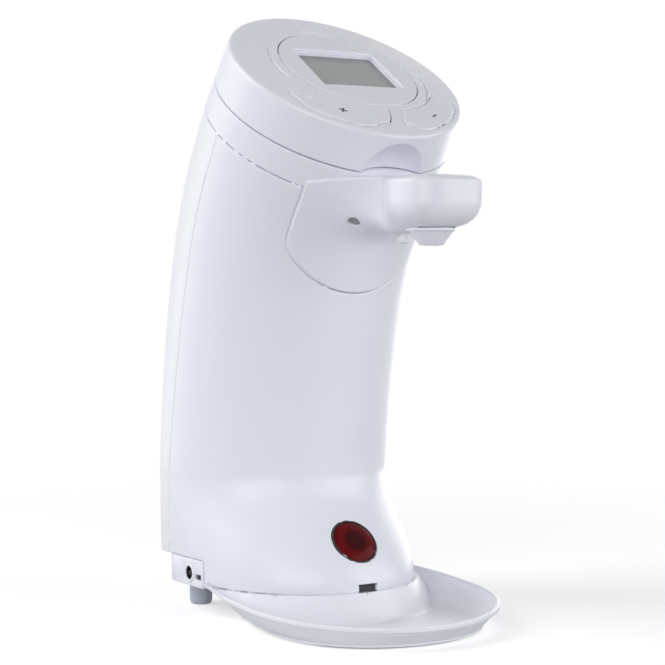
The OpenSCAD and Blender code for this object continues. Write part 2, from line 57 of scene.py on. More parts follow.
def direction(turn, rise):
    """The way out from the object, turn degrees round from its front and rise degrees up."""
    turn, rise = math.radians(turn), math.radians(rise)
    return Vector((math.sin(turn) * math.cos(rise), -math.cos(turn) * math.cos(rise), math.sin(rise)))


def put(thing, place, look):
    """Stands a camera or a lamp at a place, looking along a direction."""
    thing.location = place
    thing.rotation_euler = look.to_track_quat("-Z", "Y").to_euler()


# --- Camera ---
camera = bpy.data.cameras.new("camera")
camera.lens = 103.2
camera.sensor_width = 36.0
bpy.context.scene.camera = link("camera", camera)
put(bpy.context.scene.camera, Vector((-0.4550, -0.6764, 0.1584)), -direction(-33.516, 2.428))

# --- Body: the tube's spine and its cross-sections ---
# s runs down the spine from the centre of the rim: straight at HEAD to BEND_0, bending to MID by BEND_1, then
# slowly more upright. The cross-sections are level from LEVEL on.
HEAD_Z = 233.5
HEAD = math.radians(33.0)
MID = math.radians(15.0)
BEND_0, BEND_1, LEVEL = 45.0, 95.0, 180.0
BEND_R = (BEND_1 - BEND_0) / (HEAD - MID)
SLOW_R = 115.0 / math.radians(10.0)
TUBE_R, FOOT_R, LID_R = 52.4, 50.2, 52.0
# The flat back, how far the foot stands out in front, and the rounding between the tube and the flat.
BACK_Y, TOE, CORNER = 78.0, 33.0, 11.0
# The seams above and below the collar, along the spine, and the heights of the foot's flare and seams.
SEAM_1, SEAM_2 = 18.0, 31.0
FLARE_TOP, FLARE_END = 62.5, 15.8
SEAM_Z, BAND_Z, BAND_Y = 14.7, 25.0, 36.0
GAP = 0.52

bend_y, bend_z = BEND_0 * math.sin(HEAD), HEAD_Z - BEND_0 * math.cos(HEAD)
slow_y = bend_y + BEND_R * (math.cos(MID) - math.cos(HEAD))
slow_z = bend_z + BEND_R * (math.sin(MID) - math.sin(HEAD))


def tilt(s):
    mid = HEAD - (s - BEND_0) / BEND_R
    return np.where(s < BEND_0, HEAD, np.where(s < BEND_1, mid, MID - (s - BEND_1) / SLOW_R))


def spine(s):
    """y and z of the spine."""
    t = tilt(s)
    straight = s * math.sin(HEAD), HEAD_Z - s * math.cos(HEAD)
    bend = bend_y + BEND_R * (np.cos(t) - math.cos(HEAD)), bend_z + BEND_R * (np.sin(t) - math.sin(HEAD))
    slow = slow_y + SLOW_R * (np.cos(t) - math.cos(MID)), slow_z + SLOW_R * (np.sin(t) - math.sin(MID))
    return [np.where(s < BEND_0, a, np.where(s < BEND_1, b, c)) for a, b, c in zip(straight, bend, slow)]


def spine_at(z):
    return BEND_1 + (MID - math.asin(math.sin(MID) - (slow_z - z) / SLOW_R)) * SLOW_R


def lean(s):
    return np.where(s < BEND_1, tilt(s), MID * np.clip(1 - (s - BEND_1) / (LEVEL - BEND_1), 0, 1))


def ease(x):
    x = np.clip(x, 0, 1)
    return x * x * (3 - 2 * x)


def radius(s):
    foot = (TUBE_R - FOOT_R) * np.clip((FLARE_TOP - spine(s)[1]) / (FLARE_TOP - SEAM_Z), 0, 1)
    return np.interp(s, [0, SEAM_2, BEND_1], [LID_R, TUBE_R + 1, TUBE_R]) - foot


def toe_out(s):
    return TOE * ease((FLARE_TOP - spine(s)[1]) / (FLARE_TOP - FLARE_END))


def soft_min(a, b):
    h = np.clip(0.5 + 0.5 * (b - a) / CORNER, 0, 1)
    return b * (1 - h) + a * h - CORNER * h * (1 - h)


def section(s, c, sn):
    """Points of the outer skin, where c and sn are the cosine and sine of the angle from the front."""
    y, z = spine(s)
    r, t = radius(s), lean(s)
    front = -r * c - toe_out(s) * np.power(np.maximum(c, 0), 0.2)
    rear = soft_min(-r * c, (BACK_Y - y) / np.cos(t))
    v = np.where(c > 1e-9, front, rear)
    return np.stack([r * sn, y + v * np.cos(t), z + v * np.sin(t)], -1)


# --- Skins: a surface over two parameters, trimmed to outlines with rolled edges, then given a wall ---
ROLL_LEVELS = (0.0, 0.04, 0.14, 0.32, 0.62, 1.0)
# How close to a cut, as a share of an edge, a corner is moved onto it.
SNAP = 0.22


class Skin:
    """A grid over two parameters that outlines cut and whose cut edges are rolled over."""

    def __init__(self, place, rows, columns):
        self.place = place
        rows, columns = np.asarray(rows, float), np.asarray(columns, float)
        n, m = len(rows), len(columns)
        self.step = np.array([np.ptp(rows) / (n - 1), np.ptp(columns) / (m - 1)])
        self.q = [(float(u), float(v)) for u in rows for v in columns]
        self.faces = [(i * m + j, i * m + j + 1, i * m + m + j + 1, i * m + m + j)
                      for i in range(n - 1) for j in range(m - 1)]
        edge = np.zeros((n, m), bool)
        edge[0], edge[-1], edge[:, 0], edge[:, -1] = True, True, True, True
        self.fixed = list(edge.ravel())
        self.rolls = []

    def value(self, field, q=None):
        q = np.array(self.q if q is None else q)
        return field(self.place(*q.T), *q.T)

    def normals(self):
        q = np.array(self.q)
        n = np.cross(*[self.place(*(q + d).T) - self.place(*(q - d).T) for d in np.diag(0.1 * self.step)])
        return n / np.maximum(np.linalg.norm(n, axis=1, keepdims=True), 1e-12)

    def cut(self, field, roll=0.5):
        """Cuts along field = 0, keeps where it is positive, and rolls the cut edge over. field takes the points
        and their two parameters and gives millimetres."""
        for level in [x * roll for x in ROLL_LEVELS] if roll else [0.0]:
            self._split(field, level)
            if level == 0.0:
                f = self.value(field)
                self.faces = [p for p in self.faces if f[list(p)].max() > 1e-4]
        if roll:
            self.rolls.append((field, roll))
        return self

    def lines(self, field, levels):
        """Lays mesh edges along levels of a field, so that a crease or groove there is clean."""
        for level in levels:
            self._split(field, level)
        return self

    def _split(self, field, level):
        f = self.value(field) - level
        f[np.abs(f) < 1e-5] = 0.0
        edges = sorted({(min(a, b), max(a, b)) for p in self.faces for a, b in zip(p, p[1:] + p[:1])
                        if f[a] * f[b] < 0})
        if not edges:
            return
        ends = np.array(edges).T
        (qa, qb), (fa, fb) = np.array(self.q)[ends], f[ends]
        lo, hi, flo, fhi = np.zeros(len(edges)), np.ones(len(edges)), fa, fb
        t = fa / (fa - fb)
        for _ in range(5):
            fm = self.value(field, qa + (qb - qa) * t[:, None]) - level
            same = fm * flo > 0
            lo, flo = np.where(same, t, lo), np.where(same, fm, flo)
            hi, fhi = np.where(same, hi, t), np.where(same, fhi, fm)
            t = np.clip((lo * fhi - hi * flo) / np.where(np.abs(fhi - flo) < 1e-12, 1, fhi - flo), 0, 1)
        snap = {}
        for k, (a, b) in enumerate(edges):
            for v, share in ((a, t[k]), (b, 1 - t[k])):
                if share < SNAP and not self.fixed[v] and share < snap.get(v, (9,))[0]:
                    snap[v] = (share, k)
        for v, (_, k) in snap.items():
            self.q[v] = tuple(qa[k] + (qb[k] - qa[k]) * t[k])
            f[v] = 0.0
            self.fixed[v] = True
        new = {}
        for k, (a, b) in enumerate(edges):
            if f[a] * f[b] < 0:
                new[(a, b)] = len(self.q)
                self.q.append(tuple(qa[k] + (qb[k] - qa[k]) * t[k]))
                self.fixed.append(True)
        for v in np.nonzero(f == 0.0)[0]:
            self.fixed[v] = True
        f = np.append(f, np.zeros(len(self.q) - len(f)))
        out = []
        for p in self.faces:
            values = f[list(p)]
            if values.min() >= 0 or values.max() <= 0:
                out.append(p)
                continue
            ring = []
            for a, b in zip(p, p[1:] + p[:1]):
                ring += [a, new[(min(a, b), max(a, b))]] if f[a] * f[b] < 0 else [a]
            sides = [tuple(v for v in ring if f[v] >= 0), tuple(v for v in ring if f[v] <= 0)]
            out += [side for side in sides if len(side) > 2]
        self.faces = out

    def mesh(self, name, wall, inside=(0, 35, 100)):
        """The finished sheet, wall thick. inside is a place that the outer face looks away from."""
        used = sorted({i for p in self.faces for i in p})
        remap = {v: k for k, v in enumerate(used)}
        self.q = [self.q[i] for i in used]
        base, n = self.place(*np.array(self.q).T), self.normals()
        flip = np.sum((base - np.array(inside)) * n) < 0
        if flip:
            n = -n
        drop = np.zeros(len(base))
        for field, roll in self.rolls:
            d = np.clip(self.value(field), 0, roll)
            drop = np.maximum(drop, roll - np.sqrt(np.maximum(roll ** 2 - (roll - d) ** 2, 0)))
        keys = {}
        merged = [keys.setdefault(tuple(p), i) for i, p in enumerate(np.round(base, 3).tolist())]
        faces = [[merged[remap[i]] for i in p] for p in self.faces]
        faces = [[a for k, a in enumerate(p) if a != p[k - 1]] for p in faces]
        faces = [p[::-1] if flip else p for p in faces if len(p) > 2]
        directed = {(a, b) for p in faces for a, b in zip(p, p[1:] + p[:1])}
        size = len(base)
        solid = faces + [[i + size for i in p[::-1]] for p in faces]
        solid += [[b, a, a + size, b + size] for a, b in directed if (b, a) not in directed]
        piece = build(name, np.vstack([base - n * drop[:, None], base - n * wall]), solid)
        # The inner face and the cut walls take the second material, a dark grey painted shade that darkens the gaps.
        inner_side = np.arange(len(piece.data.polygons)) >= len(faces)
        piece.data.polygons.foreach_set("material_index", inner_side.astype(np.int32))
        return piece


def rework(mesh, change):
    """Changes a mesh in its editable form."""
    work = bmesh.new()
    work.from_mesh(mesh)
    change(work)
    work.to_mesh(mesh)
    work.free()


def drop_loose(work):
    bmesh.ops.delete(work, geom=[v for v in work.verts if not v.link_faces], context="VERTS")


def build(name, points, faces, sharp=35.0):
    """A mesh object that is smooth except at edges sharper than the given angle."""
    mesh = bpy.data.meshes.new(name)
    mesh.from_pydata((np.asarray(points) * MM).tolist(), [], [list(p) for p in faces])
    rework(mesh, drop_loose)
    mesh.validate()
    mesh.shade_smooth()
    mesh.set_sharp_from_angle(angle=math.radians(sharp))
    return link(name, mesh)


def steps(start, stop, size):
    return np.linspace(start, stop, max(2, int(round(abs(stop - start) / size)) + 1))


def finely(path, size):
    """A path with points about size apart, and the length along it at each."""
    out = [path[0]]
    for start, stop in zip(path, path[1:]):
        count = max(1, int(round(np.linalg.norm(stop - start) / size)))
        out += [start + (stop - start) * k / count for k in range(1, count + 1)]
    out = np.array(out)
    return out, np.concatenate([[0], np.cumsum(np.linalg.norm(np.diff(out, axis=0), axis=1))])


def finish_piece(piece, body, slot, *nodes):
    """Gives a piece its finish, a dark grey painted shade inside where it is a sheet, and its place in the frame."""
    piece.data.materials.clear()
    piece.data.materials.append(FINISH[slot])
    index = np.zeros(len(piece.data.polygons), np.int32)
    piece.data.polygons.foreach_get("material_index", index)
    if index.any():
        piece.data.materials.append(SEAM_SHADE)
    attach(piece, body)
    if nodes:
        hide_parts(*nodes)


# --- Colours and finishes ---
def linear(code):
    """A #rrggbb colour as linear RGBA."""
    values = [int(code[i:i + 2], 16) / 255 for i in (1, 3, 5)]
    return [v / 12.92 if v <= 0.04045 else ((v + 0.055) / 1.055) ** 2.4 for v in values] + [1.0]


def add(tree, kind, inputs=None, **settings):
    """A node of the given kind, with its sockets set to constants or linked from other sockets. A node among the
    inputs stands for its first output."""
    node = tree.nodes.new(kind)
    for key, value in settings.items():
        setattr(node, key, value)
    for key, value in (inputs or {}).items():
        value = value.outputs[0] if isinstance(value, bpy.types.Node) else value
        if isinstance(value, bpy.types.NodeSocket):
            tree.links.new(value, node.inputs[key])
        else:
            node.inputs[key].default_value = value
    return node


def blank(name):
    """An empty material, its node tree, and the object's own coordinates in it."""
    material = bpy.data.materials.new(name)
    material.use_nodes = True
    tree = material.node_tree
    tree.nodes.clear()
    return material, tree, add(tree, "ShaderNodeTexCoord").outputs["Object"]


def surfaced(material, tree, share, dark, light, inputs):
    """Gives a material its surface, in a colour that a share takes from dark to light."""
    tint = add(tree, "ShaderNodeMix", {"Factor": share, 6: dark, 7: light}, data_type="RGBA")
    surface = add(tree, "ShaderNodeBsdfPrincipled", {"Base Color": tint.outputs[2], **inputs})
    add(tree, "ShaderNodeOutputMaterial", {"Surface": surface})
    return material


def moulded(name, colour, rough, shade=0.985, grain=0.0, grain_size=0.5, **extra):
    """Moulded plastic: a faint mottle in the colour, uneven polish, a slow ripple from shrinkage and an optional
    fine grain, whose height and size are given."""
    material, tree, place = blank(name)
    cloud = add(tree, "ShaderNodeTexNoise", {"Vector": place, "Scale": 38.0, "Detail": 3.0, "Roughness": 0.5})
    polish = add(tree, "ShaderNodeMapRange", {"Value": cloud, "To Min": rough * 0.85, "To Max": rough * 1.15})
    ripple = add(tree, "ShaderNodeTexNoise", {"Vector": place, "Scale": 55.0, "Detail": 1.0}, normalize=False)
    bump = add(tree, "ShaderNodeBump", {"Height": ripple, "Strength": 0.12, "Distance": 0.02 * MM})
    if grain:
        fine = add(tree, "ShaderNodeTexNoise", {"Vector": place, "Scale": 1.0 / (grain_size * MM), "Detail": 2.0})
        bump = add(tree, "ShaderNodeBump", {"Height": fine, "Strength": 0.5, "Distance": grain * MM, "Normal": bump})
    dark = [c * shade for c in linear(colour)[:3]] + [1.0]
    return surfaced(material, tree, cloud, dark, linear(colour), {"Roughness": polish, "Normal": bump, **extra})


def dark_window(name, rim_colour, core_colour):
    """Polished dark red acrylic, darker towards the middle."""
    material, tree, place = blank(name)
    far = add(tree, "ShaderNodeVectorMath", {0: place, 1: tuple(WINDOW * MM)}, operation="DISTANCE")
    away_from_middle = add(tree, "ShaderNodeMapRange", {"Value": far.outputs["Value"], "From Min": 4.2 * MM,
                                                 "From Max": 6.6 * MM}, interpolation_type="SMOOTHSTEP")
    cloud = add(tree, "ShaderNodeTexNoise", {"Vector": place, "Scale": 180.0, "Detail": 2.0})
    shown = add(tree, "ShaderNodeMath", {0: away_from_middle, 1: cloud, 2: 0.12}, operation="MULTIPLY_ADD")
    return surfaced(material, tree, shown, linear(core_colour), linear(rim_colour),
                    {"Roughness": 0.1, "Specular IOR Level": 0.06})


def metal(name, colour, rough, stretch):
    """Bare or plated metal with fine marks along one direction."""
    material, tree, place = blank(name)
    turned = add(tree, "ShaderNodeMapping", {"Vector": place, "Scale": stretch})
    marks = add(tree, "ShaderNodeTexNoise", {"Vector": turned, "Scale": 900.0, "Detail": 3.0})
    stain = add(tree, "ShaderNodeTexNoise", {"Vector": place, "Scale": 90.0, "Detail": 2.0})
    dark = [c * 0.86 for c in linear(colour)[:3]] + [1.0]
    polish = add(tree, "ShaderNodeMapRange", {"Value": marks, "To Min": rough * 0.7, "To Max": rough * 1.3})
    bump = add(tree, "ShaderNodeBump", {"Height": marks, "Strength": 0.15, "Distance": 0.02 * MM})
    return surfaced(material, tree, stain, dark, linear(colour),
                    {"Roughness": polish, "Normal": bump, "Metallic": 1.0})


def circuit_board(name):
    """Green solder mask with paler copper tracks under it."""
    material, tree, place = blank(name)
    cells = add(tree, "ShaderNodeTexVoronoi", {"Vector": place, "Scale": 320.0}, distance="CHEBYCHEV")
    track = add(tree, "ShaderNodeMapRange", {"Value": cells, "From Min": 0.36, "From Max": 0.40})
    bump = add(tree, "ShaderNodeBump", {"Height": track, "Strength": 0.3, "Distance": 0.03 * MM})
    return surfaced(material, tree, track, linear("#2c5c3c"), linear("#3d7a50"),
                    {"Roughness": 0.35, "Normal": bump})


# The sensor window: the centre of its face and its radius.
WINDOW, WINDOW_R = np.array([0.0, -6.2, 34.5]), 9.9
# The inside of a shell and the cut faces of its wall: a dark grey that is painted shade, so that the gaps between
# parts look dark, and duller than the show side.
SEAM_SHADE = moulded("painted_seam_shade_inside", "#3b3e47", 0.65, grain=0.01)
FINISH = {
    "white_plastic": moulded("polished_white_abs", "#e4e5ef", 0.34, **{"Coat Weight": 0.05, "Coat Roughness": 0.14}),
    "rear_plastic": moulded("satin_white_abs", "#e6e8ee", 0.34, grain=0.004),
    "tray_plastic": moulded("polished_tray_abs", "#e9ebf2", 0.34, **{"Coat Weight": 0.1, "Coat Roughness": 0.12}),
    "tank_plastic": moulded("natural_polypropylene", "#dfe4e8", 0.45, grain=0.006,
                            **{"Subsurface Weight": 0.2, "Subsurface Scale": 0.004}),
    "pipe_plastic": moulded("silicone_tube", "#d3dadd", 0.4,
                            **{"Subsurface Weight": 0.3, "Subsurface Scale": 0.002}),
    "inner_plastic": moulded("unpainted_grey_abs", "#b9c0c6", 0.5, grain=0.01),
    "black_plastic": moulded("textured_black_abs", "#17181b", 0.48, shade=0.7, grain=0.012, grain_size=0.35),
    "grey_lens": moulded("smoked_acrylic", "#8e959a", 0.2, shade=0.9),
    "light_pipe": moulded("frosted_polycarbonate", "#e2e6ec", 0.35),
    "red_window": dark_window("dark_red_acrylic", "#740812", "#2e090c"),
    "lcd_window": moulded("display_window", "#7d8482", 0.16, **{"Coat Weight": 0.4, "Coat Roughness": 0.06}),
    "lcd_glass": moulded("reflective_display", "#9aa29b", 0.3, shade=0.94),
    "gasket_rubber": moulded("silicone_gasket", "#c4c9ce", 0.6, grain=0.01),
    "foot_rubber": moulded("soft_foot_rubber", "#b4bbc8", 0.62, shade=0.93, grain=0.02),
    "steel": metal("zinc_plated_steel", "#b9bdc1", 0.32, (1, 1, 6)),
    "brass": metal("cut_brass", "#c9a552", 0.28, (1, 1, 8)),
    "board": circuit_board("green_circuit_board"),
    "cell_jacket": moulded("cell_jacket_film", "#4f555c", 0.3, shade=0.8),
    "violet_lens": moulded("tinted_epoxy", "#6d5fa8", 0.18, shade=0.85),
}
SLOT = {part["node"]: part["material_slot"] for part in frame["record"]["subparts"]}
for name, node in frame["nodes"].items():
    node.data.materials.clear()
    node.data.materials.append(FINISH[SLOT[name]])


# --- Distances, positive on the side that is kept ---
# An outline drawn on the front or the back counts only beyond its y here, and is FAR away elsewhere.
FAR = 50.0
COVER_FRONT, WINDOW_FRONT, PANEL_BACK = 12, 25, 60


def to_head(p):
    """x, v and h of points, in the tilted frame of the lid: v runs back along the rim and h is out of its top."""
    y, z = p[..., 1], p[..., 2] - HEAD_Z
    return p[..., 0], y * math.cos(HEAD) + z * math.sin(HEAD), z * math.cos(HEAD) - y * math.sin(HEAD)


def from_head(x, v, h):
    x, v, h = np.broadcast_arrays(x, v, h)
    return np.stack([x, v * math.cos(HEAD) - h * math.sin(HEAD),
                     HEAD_Z + v * math.sin(HEAD) + h * math.cos(HEAD)], -1)


def head_ring(r, h, a):
    return from_head(r * np.sin(a), -r * np.cos(a), h)


def round_max(a, b, r):
    return np.minimum(-r, np.maximum(a, b)) + np.hypot(np.maximum(a + r, 0), np.maximum(b + r, 0))


def round_min(a, b, r):
    return np.maximum(r, np.minimum(a, b)) - np.hypot(np.maximum(r - a, 0), np.maximum(r - b, 0))


def box_2d(x, y, x0, x1, y0, y1, r=0.0):
    """Distance outside a rectangle with corner radius r."""
    dx = np.maximum(x0 - x, x - x1) + r
    dy = np.maximum(y0 - y, y - y1) + r
    return np.minimum(np.maximum(dx, dy), 0) + np.hypot(np.maximum(dx, 0), np.maximum(dy, 0)) - r


def polygon(x, y, corners):
    """Distance outside a polygon."""
    corners = np.asarray(corners, float)
    best, inside = np.full(np.shape(x), 1e9), np.zeros(np.shape(x), bool)
    for a, b in zip(corners, np.roll(corners, -1, 0)):
        e = b - a
        t = np.clip(((x - a[0]) * e[0] + (y - a[1]) * e[1]) / (e @ e), 0, 1)
        best = np.minimum(best, np.hypot(x - a[0] - t * e[0], y - a[1] - t * e[1]))
        if e[1]:
            cross = (a[1] > y) != (b[1] > y)
            inside ^= cross & (x < a[0] + (y - a[1]) * e[0] / e[1])
    return np.where(inside, -best, best)


# Half width, top, and the centre height and radius of the arc below.
COVER_W, COVER_TOP, COVER_ARC_Z, COVER_ARC_R = 33.0, 189.0, 177.3, 36.3


def cover_outline(x, z):
    """Distance outside the nozzle cover's outline, seen from the front."""
    arc = np.where(z < COVER_ARC_Z, np.hypot(x, z - COVER_ARC_Z) - COVER_ARC_R, -9.0)
    return round_max(round_max(np.abs(x) - COVER_W, arc, 1.2), z - COVER_TOP, 1.5)


# Half width, lower and upper edge and corner radius of the two panels in the flat back.
DOOR, PLATE, PANEL_GAP = (34.0, 28.0, 98.0, 3.0), (36.0, 106.0, 132.0, 2.5), 0.3


def panel_outline(p, panel, gap=0.0):
    half, low, high, corner = panel
    return box_2d(p[:, 0], p[:, 2], gap - half, half - gap, low + gap, high - gap, corner - gap)


def on_axis(centre, side, up, out):
    """Places radius r, height h and angle a on an axis that starts at a centre and runs out."""
    return lambda r, h, a: (centre + np.multiply.outer(r * np.cos(a), side) + np.multiply.outer(r * np.sin(a), up)
                            + np.multiply.outer(h + 0 * r, out))


AXIS_X, AXIS_Y, AXIS_Z = np.eye(3)
WINDOW_TIP = math.radians(40)
WINDOW_OUT = np.array([0.0, -math.cos(WINDOW_TIP), math.sin(WINDOW_TIP)])
window_place = on_axis(WINDOW, AXIS_X, np.array([0.0, math.sin(WINDOW_TIP), math.cos(WINDOW_TIP)]), WINDOW_OUT)


def window_hole(p, u, v):
    d = p - WINDOW
    off = d - np.multiply.outer(d @ WINDOW_OUT, WINDOW_OUT)
    return np.where(p[:, 1] < WINDOW_FRONT, np.linalg.norm(off, axis=1) - WINDOW_R - 0.95, FAR)


# --- Lathed and filleted small pieces ---
def fillet(points, cuts=4, closed=True):
    """Rounds the corners of an outline whose points each end with the size of the rounding."""
    out, n = [], len(points)
    for i, corner in enumerate(points):
        p, size = np.array(corner[:-1], float), corner[-1]
        if size <= 0 or (not closed and i in (0, n - 1)):
            out.append(p)
            continue
        a, b = np.array(points[i - 1][:-1], float) - p, np.array(points[(i + 1) % n][:-1], float) - p
        la, lb = np.linalg.norm(a), np.linalg.norm(b)
        a, b = a / la * min(size, la * 0.48), b / lb * min(size, lb * 0.48)
        for t in np.linspace(0, 1, cuts + 1):
            out.append(p + a * (1 - t) ** 2 + b * t ** 2)
    return np.array(out)


def outward(piece):
    """Turns the faces of a closed piece outwards."""
    rework(piece.data, lambda work: bmesh.ops.recalc_face_normals(work, faces=work.faces))
    return piece


def lathe(name, corners, place, around=96, cuts=4, sharp=35.0):
    """Turns a filleted profile of (radius, height, rounding) about an axis. A profile that starts and ends on the
    axis is closed by two poles, and any other is a closed ring."""
    poles = corners[0][0] == 0 and corners[-1][0] == 0
    profile = fillet(corners, cuts, closed=not poles)
    body = profile[1:-1] if poles else profile
    a = np.arange(around) * 2 * PI / around
    points = np.concatenate([place(np.full(around, r), h, a) for r, h in body])
    m = len(body)
    turn = [(k, (k + 1) % around) for k in range(around)]
    faces = [[i * around + k, i * around + l, j * around + l, j * around + k]
             for i, j in [(i, (i + 1) % m) for i in range(m - 1 if poles else m)] for k, l in turn]
    if poles:
        points = np.concatenate([points] + [place(np.zeros(1), profile[i][1], np.zeros(1)) for i in (0, -1)])
        low = m * around
        for k, l in turn:
            faces += [[low, l, k], [low + 1, low - around + k, low - around + l]]
    return outward(build(name, points, faces, sharp))


def extrude(name, outline, place, low, high, edge=0.3):
    """A block with an outline in (a, b) between two heights, its rims rolled by edge."""
    outline = np.asarray(outline, float)
    step = np.roll(outline, -1, 0) - np.roll(outline, 1, 0)
    normal = np.stack([step[:, 1], -step[:, 0]], 1)
    normal /= np.maximum(np.linalg.norm(normal, axis=1, keepdims=True), 1e-9)
    area = np.sum(outline[:, 0] * np.roll(outline[:, 1], -1) - np.roll(outline[:, 0], -1) * outline[:, 1])
    normal *= np.sign(area)
    roll = [(edge * (1 - math.cos(t)), edge * (1 - math.sin(t))) for t in np.radians((90, 60, 30, 0))]
    rings = [(inset, low + rise) for inset, rise in roll] + [(inset, high - rise) for inset, rise in roll[::-1]]
    n = len(outline)
    points = np.concatenate([place(*(outline - normal * inset).T, np.full(n, z)) for inset, z in rings])
    faces = [[i * n + k, i * n + (k + 1) % n, (i + 1) * n + (k + 1) % n, (i + 1) * n + k]
             for i in range(len(rings) - 1) for k in range(n)]
    faces += [list(range(n))[::-1], [(len(rings) - 1) * n + k for k in range(n)]]
    return outward(build(name, points, faces))


def join(name, pieces):
    """One mesh from several finished ones."""
    work = bmesh.new()
    for piece in pieces:
        work.from_mesh(piece.data)
        bpy.data.objects.remove(piece)
    mesh = bpy.data.meshes.new(name)
    work.to_mesh(mesh)
    work.free()
    return link(name, mesh)


# --- Body shells and collar ---
COLUMN_EASE = 0.0016
WALL = 2.4
COVER_LAP = 4.0
UNDER_LID = from_head(0, 0, -30)


def side_columns(u):
    """Cosine and sine of the angle from the front, for columns that crowd towards the parting line."""
    w = np.clip(1 - np.abs(u), 0, 1)
    t = PI / 2 * w ** 5 / (w ** 4 + COLUMN_EASE) * (1 + COLUMN_EASE)
    return np.sin(t), np.sign(u) * np.cos(t)


def parting(p, s, u):
    c = side_columns(u)[0]
    return radius(s) * c + toe_out(s) * np.power(c, 0.2) - 0.1


def below_collar(p, s, u):
    return -to_head(p)[2] - SEAM_2 - GAP


def around_cover(p, s, u):
    return np.where(p[:, 1] < COVER_FRONT, cover_outline(p[:, 0], p[:, 2]) - GAP, FAR)


def under_cover(p, s, a):
    """The collar's opening for the cover, whose top edge the cover laps over."""
    return np.maximum(around_cover(p, s, a), np.where(p[:, 1] < COVER_FRONT, p[:, 2] - COVER_TOP + COVER_LAP, FAR))


def around_notch(p, s, u):
    return np.where(p[:, 1] < 0, box_2d(p[:, 0], p[:, 2], -5.2, 5.2, 0, 18.0, 0.6), FAR)


front = Skin(lambda s, u: section(s, *side_columns(u)), steps(SEAM_2 - 0.5, spine_at(SEAM_Z) + 0.5, 1.5),
             np.linspace(-1, 1, 141))
front.cut(below_collar, 0.45).cut(around_cover, 0.5).cut(parting, 0.3)
front.cut(lambda p, s, u: p[:, 2] - SEAM_Z, 0.4)
front.cut(lambda p, s, u: np.maximum(BAND_Y - p[:, 1], p[:, 2] - BAND_Z), 0.35)
front.cut(window_hole, 0.35).cut(around_notch, 0.3)
finish_piece(front.mesh("body_front", WALL), "housing", "white_plastic", "front_shell")

rear = Skin(lambda s, a: section(s, -np.abs(np.cos(a)), np.sin(a)),
            steps(SEAM_2 - 0.5, spine_at(BAND_Z) + 0.5, 1.6), np.radians(np.linspace(90, 270, 118)))
rear.cut(below_collar, 0.45).cut(lambda p, s, a: radius(s) * np.abs(np.cos(a)) - 0.1, 0.3)
rear.cut(lambda p, s, a: p[:, 2] - BAND_Z, 0.4)
for panel in (DOOR, PLATE):
    rear.cut(lambda p, s, a, panel=panel: np.where(p[:, 1] > PANEL_BACK, panel_outline(p, panel), FAR), 0.4)
finish_piece(rear.mesh("body_rear", WALL), "housing", "rear_plastic", "rear_shell")

collar = Skin(lambda s, a: head_ring(radius(s), -s, a), steps(SEAM_1 - 0.6, SEAM_2 + 0.6, 1.4),
              np.linspace(-PI, PI, 241))
collar.cut(lambda p, s, a: np.minimum(s - SEAM_1 - GAP, SEAM_2 - s), 0.5).cut(under_cover, 0.3)
HINGE_V, HINGE_H, BARREL_R = 51.0, -14.6, 3.2


def barrel(name, first, last, degrees, side, low, high):
    """A hinge knuckle: an arc round the pin between two corners, drawn out to one side."""
    arc = [(HINGE_V + BARREL_R * math.cos(t), HINGE_H + BARREL_R * math.sin(t)) for t in np.radians(degrees)]
    return extrude(name, [first] + arc + [last], lambda v, h, x: from_head(side * x, v, h), low, high, 0.35)


def sector(r, start, stop):
    return [(r * math.sin(a), -r * math.cos(a)) for a in np.radians(np.linspace(start, stop, 15))]


ledge = lathe("collar_ledge", [(40, -22.4, 0.3), (51.0, -22.4, 0.3), (51.0, -20.4, 0.3), (40, -20.4, 0.3)],
              head_ring, 160)
land = extrude("collar_land", sector(51.2, -17, 17) + sector(44.5, 19, -19), from_head, -20.6, -18.35)
lug = barrel("collar_lug", (HINGE_V + 1.8, -21.0), (HINGE_V - 2.4, -21.0), np.arange(-20, 201, 20), 1, -7.0, 7.0)
collar_pieces = [collar.mesh("collar_skin", WALL, UNDER_LID), ledge, land, lug]
finish_piece(join("collar", collar_pieces), "housing", "white_plastic", "collar_ring")

# --- Lid: rim, grooves, thumb recess and key pockets ---
RIM_R, RIM_H = 51.95, 0.1
LAND_R, LAND_H = 31.4, 2.8
LEDGE_R, LEDGE_H = 28.6, 0.8
# Radius, height and rounding, from the seam over the rim to the ledge that the display disc sits on.
lid_path, path_length = finely(fillet([
    (float(radius(np.array(SEAM_1))) + 0.02, -SEAM_1 - 0.5, 0), (RIM_R, RIM_H, 1.5), (LAND_R, LAND_H, 0.35),
    (LAND_R, LEDGE_H, 0), (LEDGE_R, LEDGE_H, 0)], 6, closed=False), 1.3)
# A ball that the thumb recess is scooped out by.
SCOOP_R, SCOOP_V, SCOOP_H = 26.0, -72.0, -20.0


def top_height(r):
    return RIM_H + (RIM_R - r) * (LAND_H - RIM_H) / (RIM_R - LAND_R)


def polar(pairs):
    """Corners at (degrees from the front, radius) as (x, v)."""
    a, r = np.array(pairs, float).T
    return np.stack([r * np.sin(np.radians(a)), -r * np.cos(np.radians(a))], 1)


